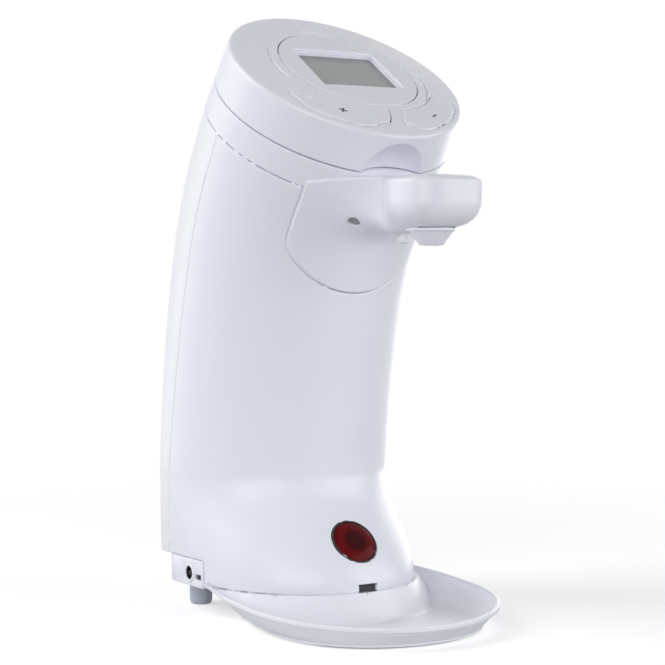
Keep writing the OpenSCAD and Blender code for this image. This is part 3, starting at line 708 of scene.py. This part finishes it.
KEY_IN = 31.5
PLUS_KEY = polar([(1.8, KEY_IN), (1.7, 33.8), (-0.7, 38.9), (-3.2, 41.8), (-4.5, 43.7), (-7, 43.2), (-10, 43.6),
                  (-12.4, 45.2), (-15.0, 47.3), (-22, 48.3), (-35, 48.6), (-46, 48.4), (-51, 47.9), (-54.2, 46.5),
                  (-57, 45.5), (-61.2, 45.6), (-63, 44.2), (-62.5, 41.8), (-60.8, 38.0), (-60.2, KEY_IN)]
                 + [(a, KEY_IN) for a in range(-56, 0, 4)])
MINUS_KEY = polar([(12.2, 34.6), (10.1, 37.5), (7.5, 40.3), (6.2, 42.8), (8.5, 43.3), (10.7, 44.4), (14, 46.8),
                   (17, 48.3), (24, 48.7), (40, 48.7), (52, 48.6), (58.5, 48.2), (61.8, 46.4), (63.4, 43),
                   (63.9, 40), (62.6, 38.2), (60, 37.5), (54, 37.1), (45, 36.6), (38, 36.2), (30, 35.7), (20, 35.1)])
# The plus key's pocket opens towards the display disc.
PLUS_POCKET = np.array([p * (30.9 / KEY_IN) if np.hypot(*p) < KEY_IN + 0.1 else p for p in PLUS_KEY])


def ring_groove(x, v):
    """Distance from the shallow groove round the display disc, which is open at the front."""
    a = np.degrees(np.arctan2(x, -v))
    r = np.hypot(x, v)
    track = np.interp(a, [-180, -140, -95, 0, 60, 110, 150, 180], [34.2, 34.9, 35.6, 35.6, 35.6, 35.1, 34.5, 34.2])
    gap_left = np.maximum(0, a + 76) * (a < 0) * r * PI / 180
    gap_right = np.maximum(0, 47 - a) * (a >= 0) * r * PI / 180
    return np.hypot(np.abs(r - track), np.maximum(gap_left, gap_right))


def lid_base(t):
    return np.interp(t, path_length, lid_path[:, 0]), np.interp(t, path_length, lid_path[:, 1])


def lid_place(t, a):
    r, h = lid_base(t)
    inside = SCOOP_R ** 2 - (h - SCOOP_H) ** 2 - (SCOOP_V * np.sin(a)) ** 2
    scoop = -SCOOP_V * np.cos(a) - np.sqrt(np.maximum(inside, 0))
    r = -round_max(-r, -np.where((inside > 0) & (np.cos(a) > 0), scoop, 99.0), 0.5)
    x, v = r * np.sin(a), -r * np.cos(a)
    deep = 0.7 * (1 - ease(ring_groove(x, v) / 0.55)) * (h > 1.2)
    return from_head(x, v, h - deep)


def scoop_edge(p, t, a):
    r, h = lid_base(t)
    return np.sqrt((r * np.sin(a)) ** 2 + (-r * np.cos(a) - SCOOP_V) ** 2 + (h - SCOOP_H) ** 2) - SCOOP_R


def hinge_notch(p, t, a):
    x, v, h = to_head(p)
    return np.where(v > 30, np.maximum(np.abs(x) - 16, h + 11), FAR)


def groove_line(p, t, a):
    x, v, h = to_head(p)
    return np.where(h > 0.5, ring_groove(x, v), FAR)


def pocket(corners):
    """The hole round a key in the lid's top."""
    def field(p, t, a):
        x, v, h = to_head(p)
        return np.where(h > -1, polygon(x, v, corners) - 0.5, FAR)
    return field


lid = Skin(lid_place, path_length, np.linspace(-PI, PI, 261))
lid.lines(scoop_edge, [-0.6, 0.0, 0.6]).lines(groove_line, [0.12, 0.3, 0.5])
lid.cut(lambda p, t, a: lid_base(t)[1] + SEAM_1, 0.5)
lid.cut(pocket(PLUS_POCKET), 0.4).cut(pocket(MINUS_KEY), 0.4).cut(hinge_notch, 0.3)
KNUCKLE_H = HINGE_H + 4.4
lid_pieces = [lid.mesh("lid_skin", 1.6, UNDER_LID)]
lid_pieces += [barrel("knuckle", (52.0, KNUCKLE_H), (49.8, KNUCKLE_H), np.arange(30, -211, -20), side, 7.3, 15.7)
               for side in (-1, 1)]
finish_piece(join("lid_cover", lid_pieces), "lid", "white_plastic", "lid")

KEY_PROUD = 0.22
BAR_LONG, BAR_THIN = 1.7, 0.36


def on_top(x, v, lift=KEY_PROUD):
    """Points of the lid's sloping top, lifted off it."""
    return from_head(x, v, top_height(np.hypot(x, v)) + lift)


def key_piece(name, corners, centre, node, pad=()):
    """A key with a bar for its sign, and a second one across it and a raised pad where a pad is given."""
    (x0, v0), (x1, v1) = corners.min(0) - 0.5, corners.max(0) + 0.5
    skin = Skin(on_top, steps(x0, x1, 1.0), steps(v0, v1, 1.0))
    skin.cut(lambda p, x, v: -polygon(x, v, corners), 0.55)
    parts = [skin.mesh(name + "_plate", 1.7, UNDER_LID)]
    if len(pad):
        parts.append(extrude("pad", fillet([(*q, 0.6) for q in pad]), on_top, -0.6, KEY_PROUD + 0.3, 0.25))
    finish_piece(join(name, parts), node, "white_plastic", node)
    cx, cv = centre
    across, along = np.array([-cv, cx]) / math.hypot(cx, cv), np.array([cx, cv]) / math.hypot(cx, cv)
    bars = [(across * BAR_LONG, along * BAR_THIN, 0.0), (along * 1.6, across * BAR_THIN, 0.004)]
    signs = []
    for one, two, lift in bars if len(pad) else bars[:1]:
        outline = [(*(centre + one * i + two * j), 0.2) for i, j in ((-1, -1), (1, -1), (1, 1), (-1, 1))]
        signs.append(extrude("bar", fillet(outline), on_top, -0.2, KEY_PROUD + 0.12 + lift, 0.1))
    finish_piece(join(name + "_sign", signs), node, "black_plastic")


key_piece("plus_button", PLUS_KEY, (-21.9, -34.9), "plus_key",
          polar([(-56.4, 35.4), (-53.0, 34.4), (-51.2, 41.2), (-54.6, 42.4)]))
key_piece("minus_button", MINUS_KEY, (24.0, -35.6), "minus_key")

# The display disc with its window, and the stepped frame round the display.
DISC_R, DISPLAY_W, DISPLAY_D = 30.85, 20.25, 15.3


def display(x, v, grow, corner=0.5):
    return box_2d(x, v, -DISPLAY_W - grow, DISPLAY_W + grow, -DISPLAY_D - grow, DISPLAY_D + grow, corner)


disc = Skin(lambda x, v: from_head(x, v, LAND_H + 0.6 * (1 - ease((np.hypot(x, v) - 20) / 12))),
            steps(-31.5, 31.5, 1.3), steps(-31.5, 31.5, 1.3))
disc.cut(lambda p, x, v: DISC_R - np.hypot(x, v), 0.5).cut(lambda p, x, v: display(x, v, 0), 0.8)
finish_piece(disc.mesh("display_bezel", 2.3, UNDER_LID), "lid", "white_plastic", "display_disc")

step_frame = Skin(lambda x, v: from_head(x, v, 1.75), steps(-21.4, 21.4, 1.6), steps(-16.4, 16.4, 1.6))
step_frame.cut(lambda p, x, v: -display(x, v, 0.9), 0.2)
step_frame.cut(lambda p, x, v: box_2d(x, v, -19.6, 19.4, -15.1, 13.9, 0.3), 0.3)
finish_piece(step_frame.mesh("display_step", 0.9, UNDER_LID), "lid", "white_plastic")

# --- Nozzle cover and beak: one closed surface round a solid given by distances ---
BEAK_Y, BEAK_R, BEAK_LOW = -61.0, 18.5, 168.2
NECK_W, NECK_LOW = 10.8, 168.4
EDGE_TOP, CROWN, COVER_LIFT = 187.0, 2.5, 0.7
GRID = 0.5


def front_of_body(x, z):
    """y of the outer skin at a place in the front view, from the nozzle up."""
    low, high = np.full(np.shape(x), 5.0), np.full(np.shape(x), BEND_1 + 40.0)
    for _ in range(40):
        s = (low + high) / 2
        y, zs = spine(s)
        r = radius(s)
        v = -np.sqrt(np.maximum(r ** 2 - x ** 2, 0))
        above = zs + v * np.sin(lean(s)) > z
        low, high = np.where(above, s, low), np.where(above, high, s)
    return y + v * np.cos(lean(s))


plan_x, plan_z = np.arange(-36, 36.01, GRID), np.arange(136, 194.01, GRID)
skin_y = front_of_body(*np.meshgrid(plan_x, plan_z, indexing="ij"))
slope_x, slope_z = np.gradient(skin_y, GRID)
skin_scale = 1 / np.sqrt(1 + slope_x ** 2 + slope_z ** 2)


def table(values, x, z):
    """Linear look-up in a grid over the front view."""
    i = np.clip((x - plan_x[0]) / GRID, 0, len(plan_x) - 1.001)
    j = np.clip((z - plan_z[0]) / GRID, 0, len(plan_z) - 1.001)
    a, b = i.astype(int), j.astype(int)
    i, j = i - a, j - b
    return (values[a, b] * (1 - i) * (1 - j) + values[a + 1, b] * i * (1 - j)
            + values[a, b + 1] * (1 - i) * j + values[a + 1, b + 1] * i * j)


def bulb_plan(x, y, inset=0.0):
    """Distance outside the bulb's outline from above: blunt in front and round behind."""
    power = np.where(y < BEAK_Y, 3.0, 2.0)
    size = BEAK_R - inset
    reach = (np.abs(x) / size) ** power + (np.abs(y - BEAK_Y) / size) ** power
    return (reach ** (1 / power) - 1) * size


def neck_side(x, y):
    """Distance outside the neck's two sides, which flare towards the body."""
    back = np.maximum(y + 46.0, 0)
    return np.abs(x) - NECK_W - 0.003 * back ** 2


def neck_low(y):
    return NECK_LOW - 0.25 * np.clip(y + 54.0, 0, 12) + 0.5 * np.maximum(y + 40.0, 0)


def beak_outside(x, y, z):
    """Distance outside the panel, neck and bulb as one flowing form, before its top and outline are cut."""
    skin = (table(skin_y, x, z) - y) * table(skin_scale, x, z) - COVER_LIFT
    bulb = round_max(bulb_plan(x, y), BEAK_LOW - z, 11.0)
    neck = np.maximum(round_max(neck_side(x, y), neck_low(y) - z, 7.0), BEAK_Y - y)
    return skin, round_min(round_min(skin, neck, 17.0), bulb, 5.0)


def beak_top(x, y, depth):
    """Height of the top, which rises from a low rim to a flat crown."""
    rim = EDGE_TOP + 1.9 * ease((y + 58) / 20) * np.clip(1 - (x / COVER_W) ** 2, 0, 1)
    return np.minimum(rim + CROWN * (1 - (1 - np.clip(depth / 7.0, 0, 1)) ** 2), 189.6)


def surface_spot(x, z):
    """The place on the cover's front at x and z, and the direction out of it."""
    low, high = -60.0, 0.0
    for _ in range(40):
        y = (low + high) / 2
        low, high = (y, high) if beak_outside(np.array(x), np.array(y), np.array(z))[1] > 0 else (low, y)
    spot = np.array([x, high, z])
    out = np.array([beak_outside(*(spot + d))[1] - beak_outside(*(spot - d))[1] for d in np.eye(3) * 0.2])
    return spot, out / np.linalg.norm(out)


STATUS, STATUS_OUT = surface_spot(-14.0, 170.3)
STATUS_SIDE = np.cross(STATUS_OUT, AXIS_Z)
STATUS_SIDE /= np.linalg.norm(STATUS_SIDE)
STATUS_UP = np.cross(STATUS_SIDE, STATUS_OUT)
STATUS_R = 2.7
GUIDE_Y = -42.0


def nozzle(x, y, z):
    """Distance outside the cover and beak."""
    skin, outside = beak_outside(x, y, z)
    top = beak_top(x, y, -outside)
    solid = round_max(outside, cover_outline(x, z), 0.5)
    solid = round_max(solid, z - top, 0.7)
    solid = np.maximum(solid, -skin - 2.9)
    core = round_max(bulb_plan(x, y, 2.2), BEAK_LOW + 2.2 - z, 7.0)
    throat = np.maximum(round_max(neck_side(x, y) + 2.2, neck_low(y) + 2.4 - z, 5.0), BEAK_Y - y)
    hollow = np.maximum(np.minimum(core, throat), np.maximum(z - 185.0, 0.5 - skin))
    pipe = np.maximum(np.hypot(x, z - 177.0) - 3.9, -50.0 - y)
    outlet = np.maximum(np.hypot(x, y - BEAK_Y) - 8.8, z - BEAK_LOW - 4)
    light = np.maximum(np.hypot(x, y - GUIDE_Y) - 2.7, z - BEAK_LOW - 4)
    off = [v - s for v, s in zip((x, y, z), STATUS)]
    along = sum(o * d for o, d in zip(off, STATUS_OUT))
    across = np.sqrt(np.maximum(sum(o * o for o in off) - along ** 2, 0))
    status = np.maximum(across - STATUS_R, np.abs(along) - 2.4)
    solid = np.maximum(np.maximum(solid, -hollow), np.maximum(np.maximum(-pipe, -outlet), -light))
    return round_max(solid, -status, 0.35)


def surface_net(name, distance, low, high, size):
    """A closed mesh on the zero level of a distance: one point in each crossed cell, moved onto the surface."""
    axes = [np.arange(a, b + size, size) for a, b in zip(low, high)]
    x, y, z = np.meshgrid(*axes, indexing="ij")
    f = distance(x, y, z)
    inside = f < 0
    cells = tuple(n - 1 for n in f.shape)
    count, total = np.zeros(cells, int), np.zeros(cells + (3,))
    corners = [(i, j, k) for i in (0, 1) for j in (0, 1) for k in (0, 1)]
    cut = {c: tuple(slice(o, o + n) for o, n in zip(c, cells)) for c in corners}
    for a in corners:
        for axis in range(3):
            if a[axis]:
                continue
            b = tuple(1 if k == axis else o for k, o in enumerate(a))
            crossed = inside[cut[a]] != inside[cut[b]]
            fa, fb = f[cut[a]], f[cut[b]]
            t = np.where(crossed, fa / np.where(crossed, fa - fb, 1), 0)
            count += crossed
            for k in range(3):
                total[..., k] += np.where(crossed, a[k] + (t if k == axis else 0), 0)
    live = count > 0
    index = np.full(cells, -1)
    index[live] = np.arange(live.sum())
    where = np.argwhere(live)
    p = np.array(low) + (where + total[live] / count[live][:, None]) * size
    home = p.copy()
    e = size * 0.05
    for _ in range(6):
        value = distance(*p.T)
        grad = np.stack([distance(*(p + d).T) - distance(*(p - d).T) for d in np.eye(3) * e], 1) / (2 * e)
        p = p - grad * (value / np.maximum((grad ** 2).sum(1), 0.25))[:, None] * 0.8
        p = home + np.clip(p - home, -0.6 * size, 0.6 * size)
    faces, unit = [], np.eye(3, dtype=int)
    for axis in range(3):
        b, c = (axis + 1) % 3, (axis + 2) % 3
        at = np.argwhere(np.diff(inside, axis=axis))
        at = at[(at[:, b] > 0) & (at[:, c] > 0) & (at[:, b] < cells[b]) & (at[:, c] < cells[c])]
        quad = np.stack([index[tuple((at - i * unit[b] - j * unit[c]).T)]
                         for i, j in ((0, 0), (1, 0), (1, 1), (0, 1))], 1)
        out = inside[tuple(at.T)]
        faces += quad[out].tolist() + quad[~out][:, ::-1].tolist()
    return build(name, p, faces, 40.0)


cover = surface_net("nozzle_cover_beak", nozzle, (-35.0, -81.5, 139.0), (35.0, 8.0, 191.5), 0.6)
finish_piece(cover, "housing", "white_plastic", "nozzle_cover")

# The status lens, the outlet's funnel, the guide light, and the sensor window's polished dome in a thin black
# ring. After the place come the counts for the lathe and its sharp angle.
beak_axis, guide_axis = [on_axis((0, y, 0), AXIS_X, AXIS_Y, AXIS_Z) for y in (BEAK_Y, GUIDE_Y)]
for name, slot, node, place, settings, profile in (
        ("status_dot", "grey_lens", "status_lens", on_axis(STATUS, STATUS_SIDE, STATUS_UP, STATUS_OUT), (48, 3),
         [(0, -2.6, 0), (STATUS_R + 0.3, -2.6, 0.1), (STATUS_R + 0.3, -1.5, 0.1), (STATUS_R - 0.5, -1.3, 0.4),
          (0, -1.2, 0)]),
        ("outlet_funnel", "white_plastic", "spout_floor", beak_axis, (72,),
         [(3.0, 170.6, 0.3), (8.5, 170.6, 0.3), (8.5, 167.9, 0), (10.1, 167.9, 0.25), (10.1, 166.9, 0.25),
          (8.9, 166.4, 0.5), (5.1, 161.2, 1.2), (4.4, 160.9, 0.4), (3.05, 161.0, 0.3)]),
        ("guide_lens", "light_pipe", "guide_light", guide_axis, (48,),
         [(0, 171.0, 0), (2.5, 171.0, 0.2), (2.5, 162.4, 0.5), (1.9, 161.7, 0.5), (0, 161.5, 0)]),
        ("sensor_lens", "red_window", "sensor_window", window_place, (96, 5, 60),
         [(0, -2.2, 0), (WINDOW_R - 0.1, -2.2, 0.1), (WINDOW_R - 0.1, 0.15, 0.35), (WINDOW_R - 1.6, 0.75, 1.0),
          (WINDOW_R - 5, 1.3, 2.0), (0, 1.45, 0)]),
        ("sensor_ring", "black_plastic", "sensor_bezel", window_place, (96,),
         [(WINDOW_R - 0.6, -9.0, 0.1), (WINDOW_R + 0.72, -9.0, 0.1), (WINDOW_R + 0.72, 0.35, 0.3),
          (WINDOW_R + 0.05, 0.4, 0.25), (WINDOW_R + 0.05, -2.4, 0), (WINDOW_R - 0.6, -2.4, 0.1)])):
    finish_piece(lathe(name, profile, place, *settings), "housing", slot, node)

# --- Drip tray: one sheet over the outline and the wall's profile ---
TRAY_W, TRAY_Y, TRAY_END = 57.0, -14.5, 38.0
FOOT_Y = 33.3
ARC = PI * TRAY_W
SIDE = TRAY_END - TRAY_Y
RIM_UNIT = 12.0
RAMP_TOP, RAMP_R = 14.35, 50.2


def rim_height(y):
    return 15.6 - 0.064 * np.clip(25 - y, 0, 99)


def soft_max(a, b, k):
    return np.maximum(a, b) + np.maximum(k - np.abs(a - b), 0) ** 2 / (4 * k)


def from_foot(x, y):
    """Distance in plan from the centre line of the body's foot."""
    return np.hypot(x, np.minimum(y - FOOT_Y, 0))


# Inset, height, how far the height follows the rim, and rounding, from the foot of the outer wall to the middle.
tray_rows, tray_length = finely(fillet([
    (9.8, 0.0, 0, 0), (8.4, 0.0, 0, 1.3), (6.2, 2.2, 0, 2.5), (1.6, -2.6, RIM_UNIT, 1.2), (1.4, -2.2, RIM_UNIT, 0.15),
    (0.1, -2.0, RIM_UNIT, 0.3), (0.0, 0.0, RIM_UNIT, 0.7), (2.1, -0.1, RIM_UNIT, 0.8), (3.0, -3.0, RIM_UNIT, 1.4),
    (8.4, 3.4, 0, 3.0), (12.8, 2.5, 0, 2.0), (20.0, 2.5, 0, 0), (56.9, 2.5, 0, 0)], 5, closed=False), 1.7)
LIP = tray_length[np.argmin(tray_rows[:, 0])]


def tray_place(k, t):
    inset, height, follow = [np.interp(k, tray_length, tray_rows[:, i]) for i in range(3)]
    w = TRAY_W - inset
    a = (t - SIDE) / TRAY_W
    front = (t > SIDE) & (t < SIDE + ARC)
    y = np.where(t < SIDE, TRAY_END - t, np.where(front, TRAY_Y - w * np.sin(a), TRAY_Y + t - SIDE - ARC))
    z = height + follow / RIM_UNIT * rim_height(y)
    # Below the rim the wall leans in, more towards the back, and closes round under the body.
    low = np.clip(1 - z / rim_height(y), 0, 1)
    along = np.clip((y - TRAY_Y) / 30, 0, 1)
    lean_in = (7 + 4 * along) * low ** (3 - 2 * along) * np.minimum(1, w / 44) * np.where(front, np.cos(a) ** 8, 1)
    w = w - lean_in
    shut = np.clip((y - 24) / (TRAY_END + 0.05 - 24), 0, 1)
    side = w * (1 - ease(low * 5) * (k < LIP) * (1 - np.sqrt(1 - shut ** 2)))
    rear = np.clip((y - 20) / (TRAY_END + 0.4 - 20), 0, 1)
    side = np.maximum(side - 5 * np.clip((y - 4) / 32, 0, 1) ** 1.3 - 2.4 * (1 - np.sqrt(1 - rear ** 2)), 0)
    x = np.where(t < SIDE, -side, np.where(front, -w * np.cos(a), side))
    y = np.where(front, TRAY_Y - w * np.sin(a), y)
    slope = 1.74 - 1.4 * ease((y + 2) / 24)
    ramp = np.minimum(RAMP_TOP, RAMP_TOP - (from_foot(x, y) - RAMP_R) * slope)
    return np.stack([x, y, np.where(k > LIP, soft_max(z, ramp, 1.2), z)], -1)


def outside_foot(p, k, t):
    limit = 48.6 + 1.95 * ease((p[:, 1] - 20) / 6)
    off = from_foot(p[:, 0], p[:, 1]) - limit
    return np.where(k < LIP - 3, np.maximum(off, 12.0 - p[:, 2]), off)


tray_columns = steps(0, 2 * SIDE + ARC, 1.7)
tray = Skin(tray_place, tray_length, tray_columns)
tray.lines(lambda p, k, t: from_foot(p[:, 0], p[:, 1]), [RAMP_R, 50.9]).cut(outside_foot, 0)
FLOOR_ROW, FLOOR_MID, FLOOR_Z = 3.6, 6.0, 2.1


def tray_floor_place(r, t):
    edge = tray_place(FLOOR_ROW + 0 * t, t)
    return np.stack([edge[..., 0] * r, FLOOR_MID + (edge[..., 1] - FLOOR_MID) * r, FLOOR_Z + 0 * r], -1)


tray_floor = Skin(tray_floor_place, steps(0.0, 1.0, 0.05), tray_columns)
tray_pieces = [tray.mesh("tray_wall", 1.1, (0, -14, -30)), tray_floor.mesh("tray_floor", 1.2, (0, -14, -30))]
finish_piece(join("tray", tray_pieces), "tray", "tray_plastic", "drip_tray")


# --- Back: battery door and wall plate ---
def back_skin(panel, y, roll):
    half, low, high, corner = panel
    skin = Skin(lambda x, z: np.stack([x, np.full(np.shape(x), y), z], -1), steps(-half, half, 2.0),
                steps(low, high, 2.0))
    return skin.cut(lambda p, x, z: -panel_outline(p, panel, PANEL_GAP), roll)


def grip_ribs(name, count, foot, **sizes):
    """Horizontal grip ribs, laid out by a node tree and made into one plain mesh."""
    tree = bpy.data.node_groups.new(name, "GeometryNodeTree")
    values = {"Count": count, **sizes}
    for label, value in values.items():
        kind = "NodeSocketInt" if label == "Count" else "NodeSocketFloat"
        tree.interface.new_socket(label, in_out="INPUT", socket_type=kind).default_value = value
    tree.interface.new_socket("Geometry", in_out="OUTPUT", socket_type="NodeSocketGeometry")
    given = add(tree, "NodeGroupInput")
    step = add(tree, "ShaderNodeCombineXYZ", {"Z": given.outputs["Pitch"]})
    row = add(tree, "GeometryNodeMeshLine", {"Count": given, "Offset": step, "Start Location": foot})
    half = add(tree, "ShaderNodeMath", {0: given.outputs["Length"], 1: 0.5}, operation="MULTIPLY")
    minus = add(tree, "ShaderNodeMath", {0: half, 1: -1.0}, operation="MULTIPLY")
    start = add(tree, "ShaderNodeCombineXYZ", {"X": minus})
    stop = add(tree, "ShaderNodeCombineXYZ", {"X": half})
    spine_line = add(tree, "GeometryNodeCurvePrimitiveLine", {"Start": start, "End": stop})
    fine = add(tree, "GeometryNodeResampleCurve", {"Curve": spine_line, "Count": 13})
    where = add(tree, "GeometryNodeSplineParameter")
    mid = add(tree, "ShaderNodeMath", {0: where.outputs["Factor"], 1: 0.5}, operation="SUBTRACT")
    far = add(tree, "ShaderNodeMath", {0: mid}, operation="ABSOLUTE")
    taper = add(tree, "ShaderNodeMapRange", {"Value": far, "From Min": 0.42, "From Max": 0.5,
                                             "To Min": 1.0, "To Max": 0.05}, interpolation_type="SMOOTHSTEP")
    thin = add(tree, "ShaderNodeMath", {0: given.outputs["Thickness"], 1: taper}, operation="MULTIPLY")
    shaped = add(tree, "GeometryNodeSetCurveRadius", {"Curve": fine, "Radius": thin})
    circle = add(tree, "GeometryNodeCurvePrimitiveCircle", {"Resolution": 12, "Radius": 1.0})
    rib = add(tree, "GeometryNodeCurveToMesh", {"Curve": shaped, "Profile Curve": circle, "Fill Caps": True})
    if "Scale" in rib.inputs:
        tree.links.new(thin.outputs[0], rib.inputs["Scale"])
    placed = add(tree, "GeometryNodeInstanceOnPoints", {"Points": row, "Instance": rib})
    solid = add(tree, "GeometryNodeRealizeInstances", {"Geometry": placed})
    smooth = add(tree, "GeometryNodeSetShadeSmooth", {"Geometry": solid})
    finish = add(tree, "GeometryNodeSetMaterial", {"Geometry": smooth, "Material": FINISH["rear_plastic"]})
    add(tree, "NodeGroupOutput", {0: finish})
    holder = link(name + "_maker", bpy.data.meshes.new(name + "_maker"))
    modifier = holder.modifiers.new("ribs", "NODES")
    modifier.node_group = tree
    for item in tree.interface.items_tree:
        if item.in_out == "INPUT":
            modifier[item.identifier] = values[item.name]
    bpy.context.view_layer.update()
    mesh = bpy.data.meshes.new_from_object(holder.evaluated_get(bpy.context.evaluated_depsgraph_get()))
    bpy.data.objects.remove(holder)
    return outward(link(name, mesh))


ribs = grip_ribs("door_ribs", 5, (0, 77.6 * MM, 82 * MM), Pitch=2.4 * MM, Length=18 * MM, Thickness=0.75 * MM)
door_plate = back_skin(DOOR, BACK_Y, 0.5).mesh("door_plate", 2.2)
finish_piece(join("battery_cover", [door_plate, ribs]), "door", "rear_plastic", "battery_door")


def keyholes(p, x, z):
    x, z = np.abs(p[:, 0]) - 25, p[:, 2]
    return np.minimum(np.hypot(x, z - 114) - 4.4, box_2d(x, z, -2.2, 2.2, 112, 124.2, 2.1))


plate = back_skin(PLATE, BACK_Y - 0.6, 0.25).cut(keyholes, 0.3)
finish_piece(plate.mesh("wall_plate", 1.6), "housing", "steel", "keyhole_plate")


# --- Base: pan, socket and feet ---
def round_edges(work):
    bmesh.ops.remove_doubles(work, verts=work.verts, dist=1e-6)
    bmesh.ops.dissolve_limit(work, angle_limit=math.radians(2), verts=work.verts, edges=work.edges)
    edges = [e for e in work.edges if len(e.link_faces) == 2 and e.calc_face_angle(0) > math.radians(30)]
    bmesh.ops.bevel(work, geom=edges, offset=0.35 * MM, segments=2, profile=0.5, affect="EDGES", clamp_overlap=True)
    bmesh.ops.triangulate(work, faces=[f for f in work.faces if len(f.verts) > 4])


pan = frame["nodes"]["base_pan"].data.copy()
rework(pan, round_edges)
pan.shade_smooth()
pan.set_sharp_from_angle(angle=math.radians(40))
finish_piece(link("base_floor", pan), "housing", "white_plastic", "base_pan")
jack_ring = [(2.95, -0.6, 0.1), (4.3, -0.6, 0.1), (4.3, 0.1, 0.3), (3.9, 0.55, 0.3), (3.15, 0.55, 0.3),
             (2.95, 0.2, 0.1)]
jack_axis = on_axis((-50.2, 48.0, 18.4), AXIS_Y, AXIS_Z, -AXIS_X)
finish_piece(lathe("socket_ring", jack_ring, jack_axis, 48), "housing", "white_plastic")
foot_profile = [(0, 0, 0), (4.3, 0, 0.6), (5.0, 1.4, 0.6), (5.2, 12.6, 0.2), (0, 12.6, 0)]
feet = [lathe("foot", foot_profile, on_axis((x, 69.0, 0), AXIS_X, AXIS_Y, AXIS_Z), 48) for x in (-32.5, 32.5)]
finish_piece(join("rear_feet_pair", feet), "housing", "foot_rubber", "rear_feet")

# --- Floor, lights and background ---
REACH = 1.5
floor_mesh = bpy.data.meshes.new("floor")
floor_mesh.from_pydata([(-REACH, -REACH, 0), (REACH, -REACH, 0), (REACH, REACH, 0), (-REACH, REACH, 0)], [],
                       [(0, 1, 2, 3)])
floor = link("floor", floor_mesh)
material, tree, place = blank("pale_floor")
ray = add(tree, "ShaderNodeLightPath")
reach = add(tree, "ShaderNodeVectorMath", {0: place}, operation="LENGTH")
fade = add(tree, "ShaderNodeMapRange", {"Value": reach.outputs["Value"], "From Min": 0.16, "From Max": 0.55,
                                        "To Min": 0.0, "To Max": 1.0}, interpolation_type="SMOOTHSTEP")
paper = add(tree, "ShaderNodeBsdfDiffuse", {"Color": (0.82, 0.82, 0.82, 1)})
lift = add(tree, "ShaderNodeEmission", {"Color": (1, 1, 1, 1), "Strength": 0.45})
both = add(tree, "ShaderNodeAddShader", {0: paper, 1: lift})
seen = add(tree, "ShaderNodeMixShader", {0: ray.outputs["Is Camera Ray"], 1: paper, 2: both})
clear = add(tree, "ShaderNodeBsdfTransparent")
whole = add(tree, "ShaderNodeMixShader", {0: fade, 1: seen, 2: clear})
add(tree, "ShaderNodeOutputMaterial", {"Surface": whole})
floor_mesh.materials.append(material)

world = bpy.data.worlds.new("studio")
bpy.context.scene.world = world
world.use_nodes = True
tree = world.node_tree
tree.nodes.clear()
ray = add(tree, "ShaderNodeLightPath")
glossy = add(tree, "ShaderNodeMath", {0: ray.outputs["Is Camera Ray"], 1: ray.outputs["Is Glossy Ray"]},
             operation="MAXIMUM")
shown = add(tree, "ShaderNodeMath", {0: glossy, 1: ray.outputs["Is Transmission Ray"]},
            operation="MAXIMUM")
room = add(tree, "ShaderNodeBackground", {"Color": linear("#f2f4fa"), "Strength": 0.05})
white = add(tree, "ShaderNodeBackground", {"Color": (1, 1, 1, 1), "Strength": 1.0})
mixed = add(tree, "ShaderNodeMixShader", {0: shown, 1: room, 2: white})
add(tree, "ShaderNodeOutputWorld", {"Surface": mixed})

# Soft lamps in metres and watts: degrees round from the front and up, width, height and power.
TARGET, LAMP_REACH = Vector((0, 0, 0.13)), 1.3
for name, turn, rise, width, height, power in (("left_box", -120, 32, 0.8, 1.0, 9.5),
                                               ("front_box", -45, 10, 1.3, 1.1, 10.6),
                                               ("right_box", 45, 14, 1.3, 1.1, 10.2),
                                               ("back_right_box", 120, 10, 0.8, 0.9, 4.5),
                                               ("back_left_box", -150, 10, 0.8, 0.9, 2.5)):
    light = bpy.data.lights.new(name, "AREA")
    light.shape, light.size, light.size_y, light.energy = "RECTANGLE", width, height, power
    place = TARGET + LAMP_REACH * direction(turn, rise)
    put(link(name, light), place, TARGET - place)

bpy.context.scene.view_settings.view_transform = "Standard"
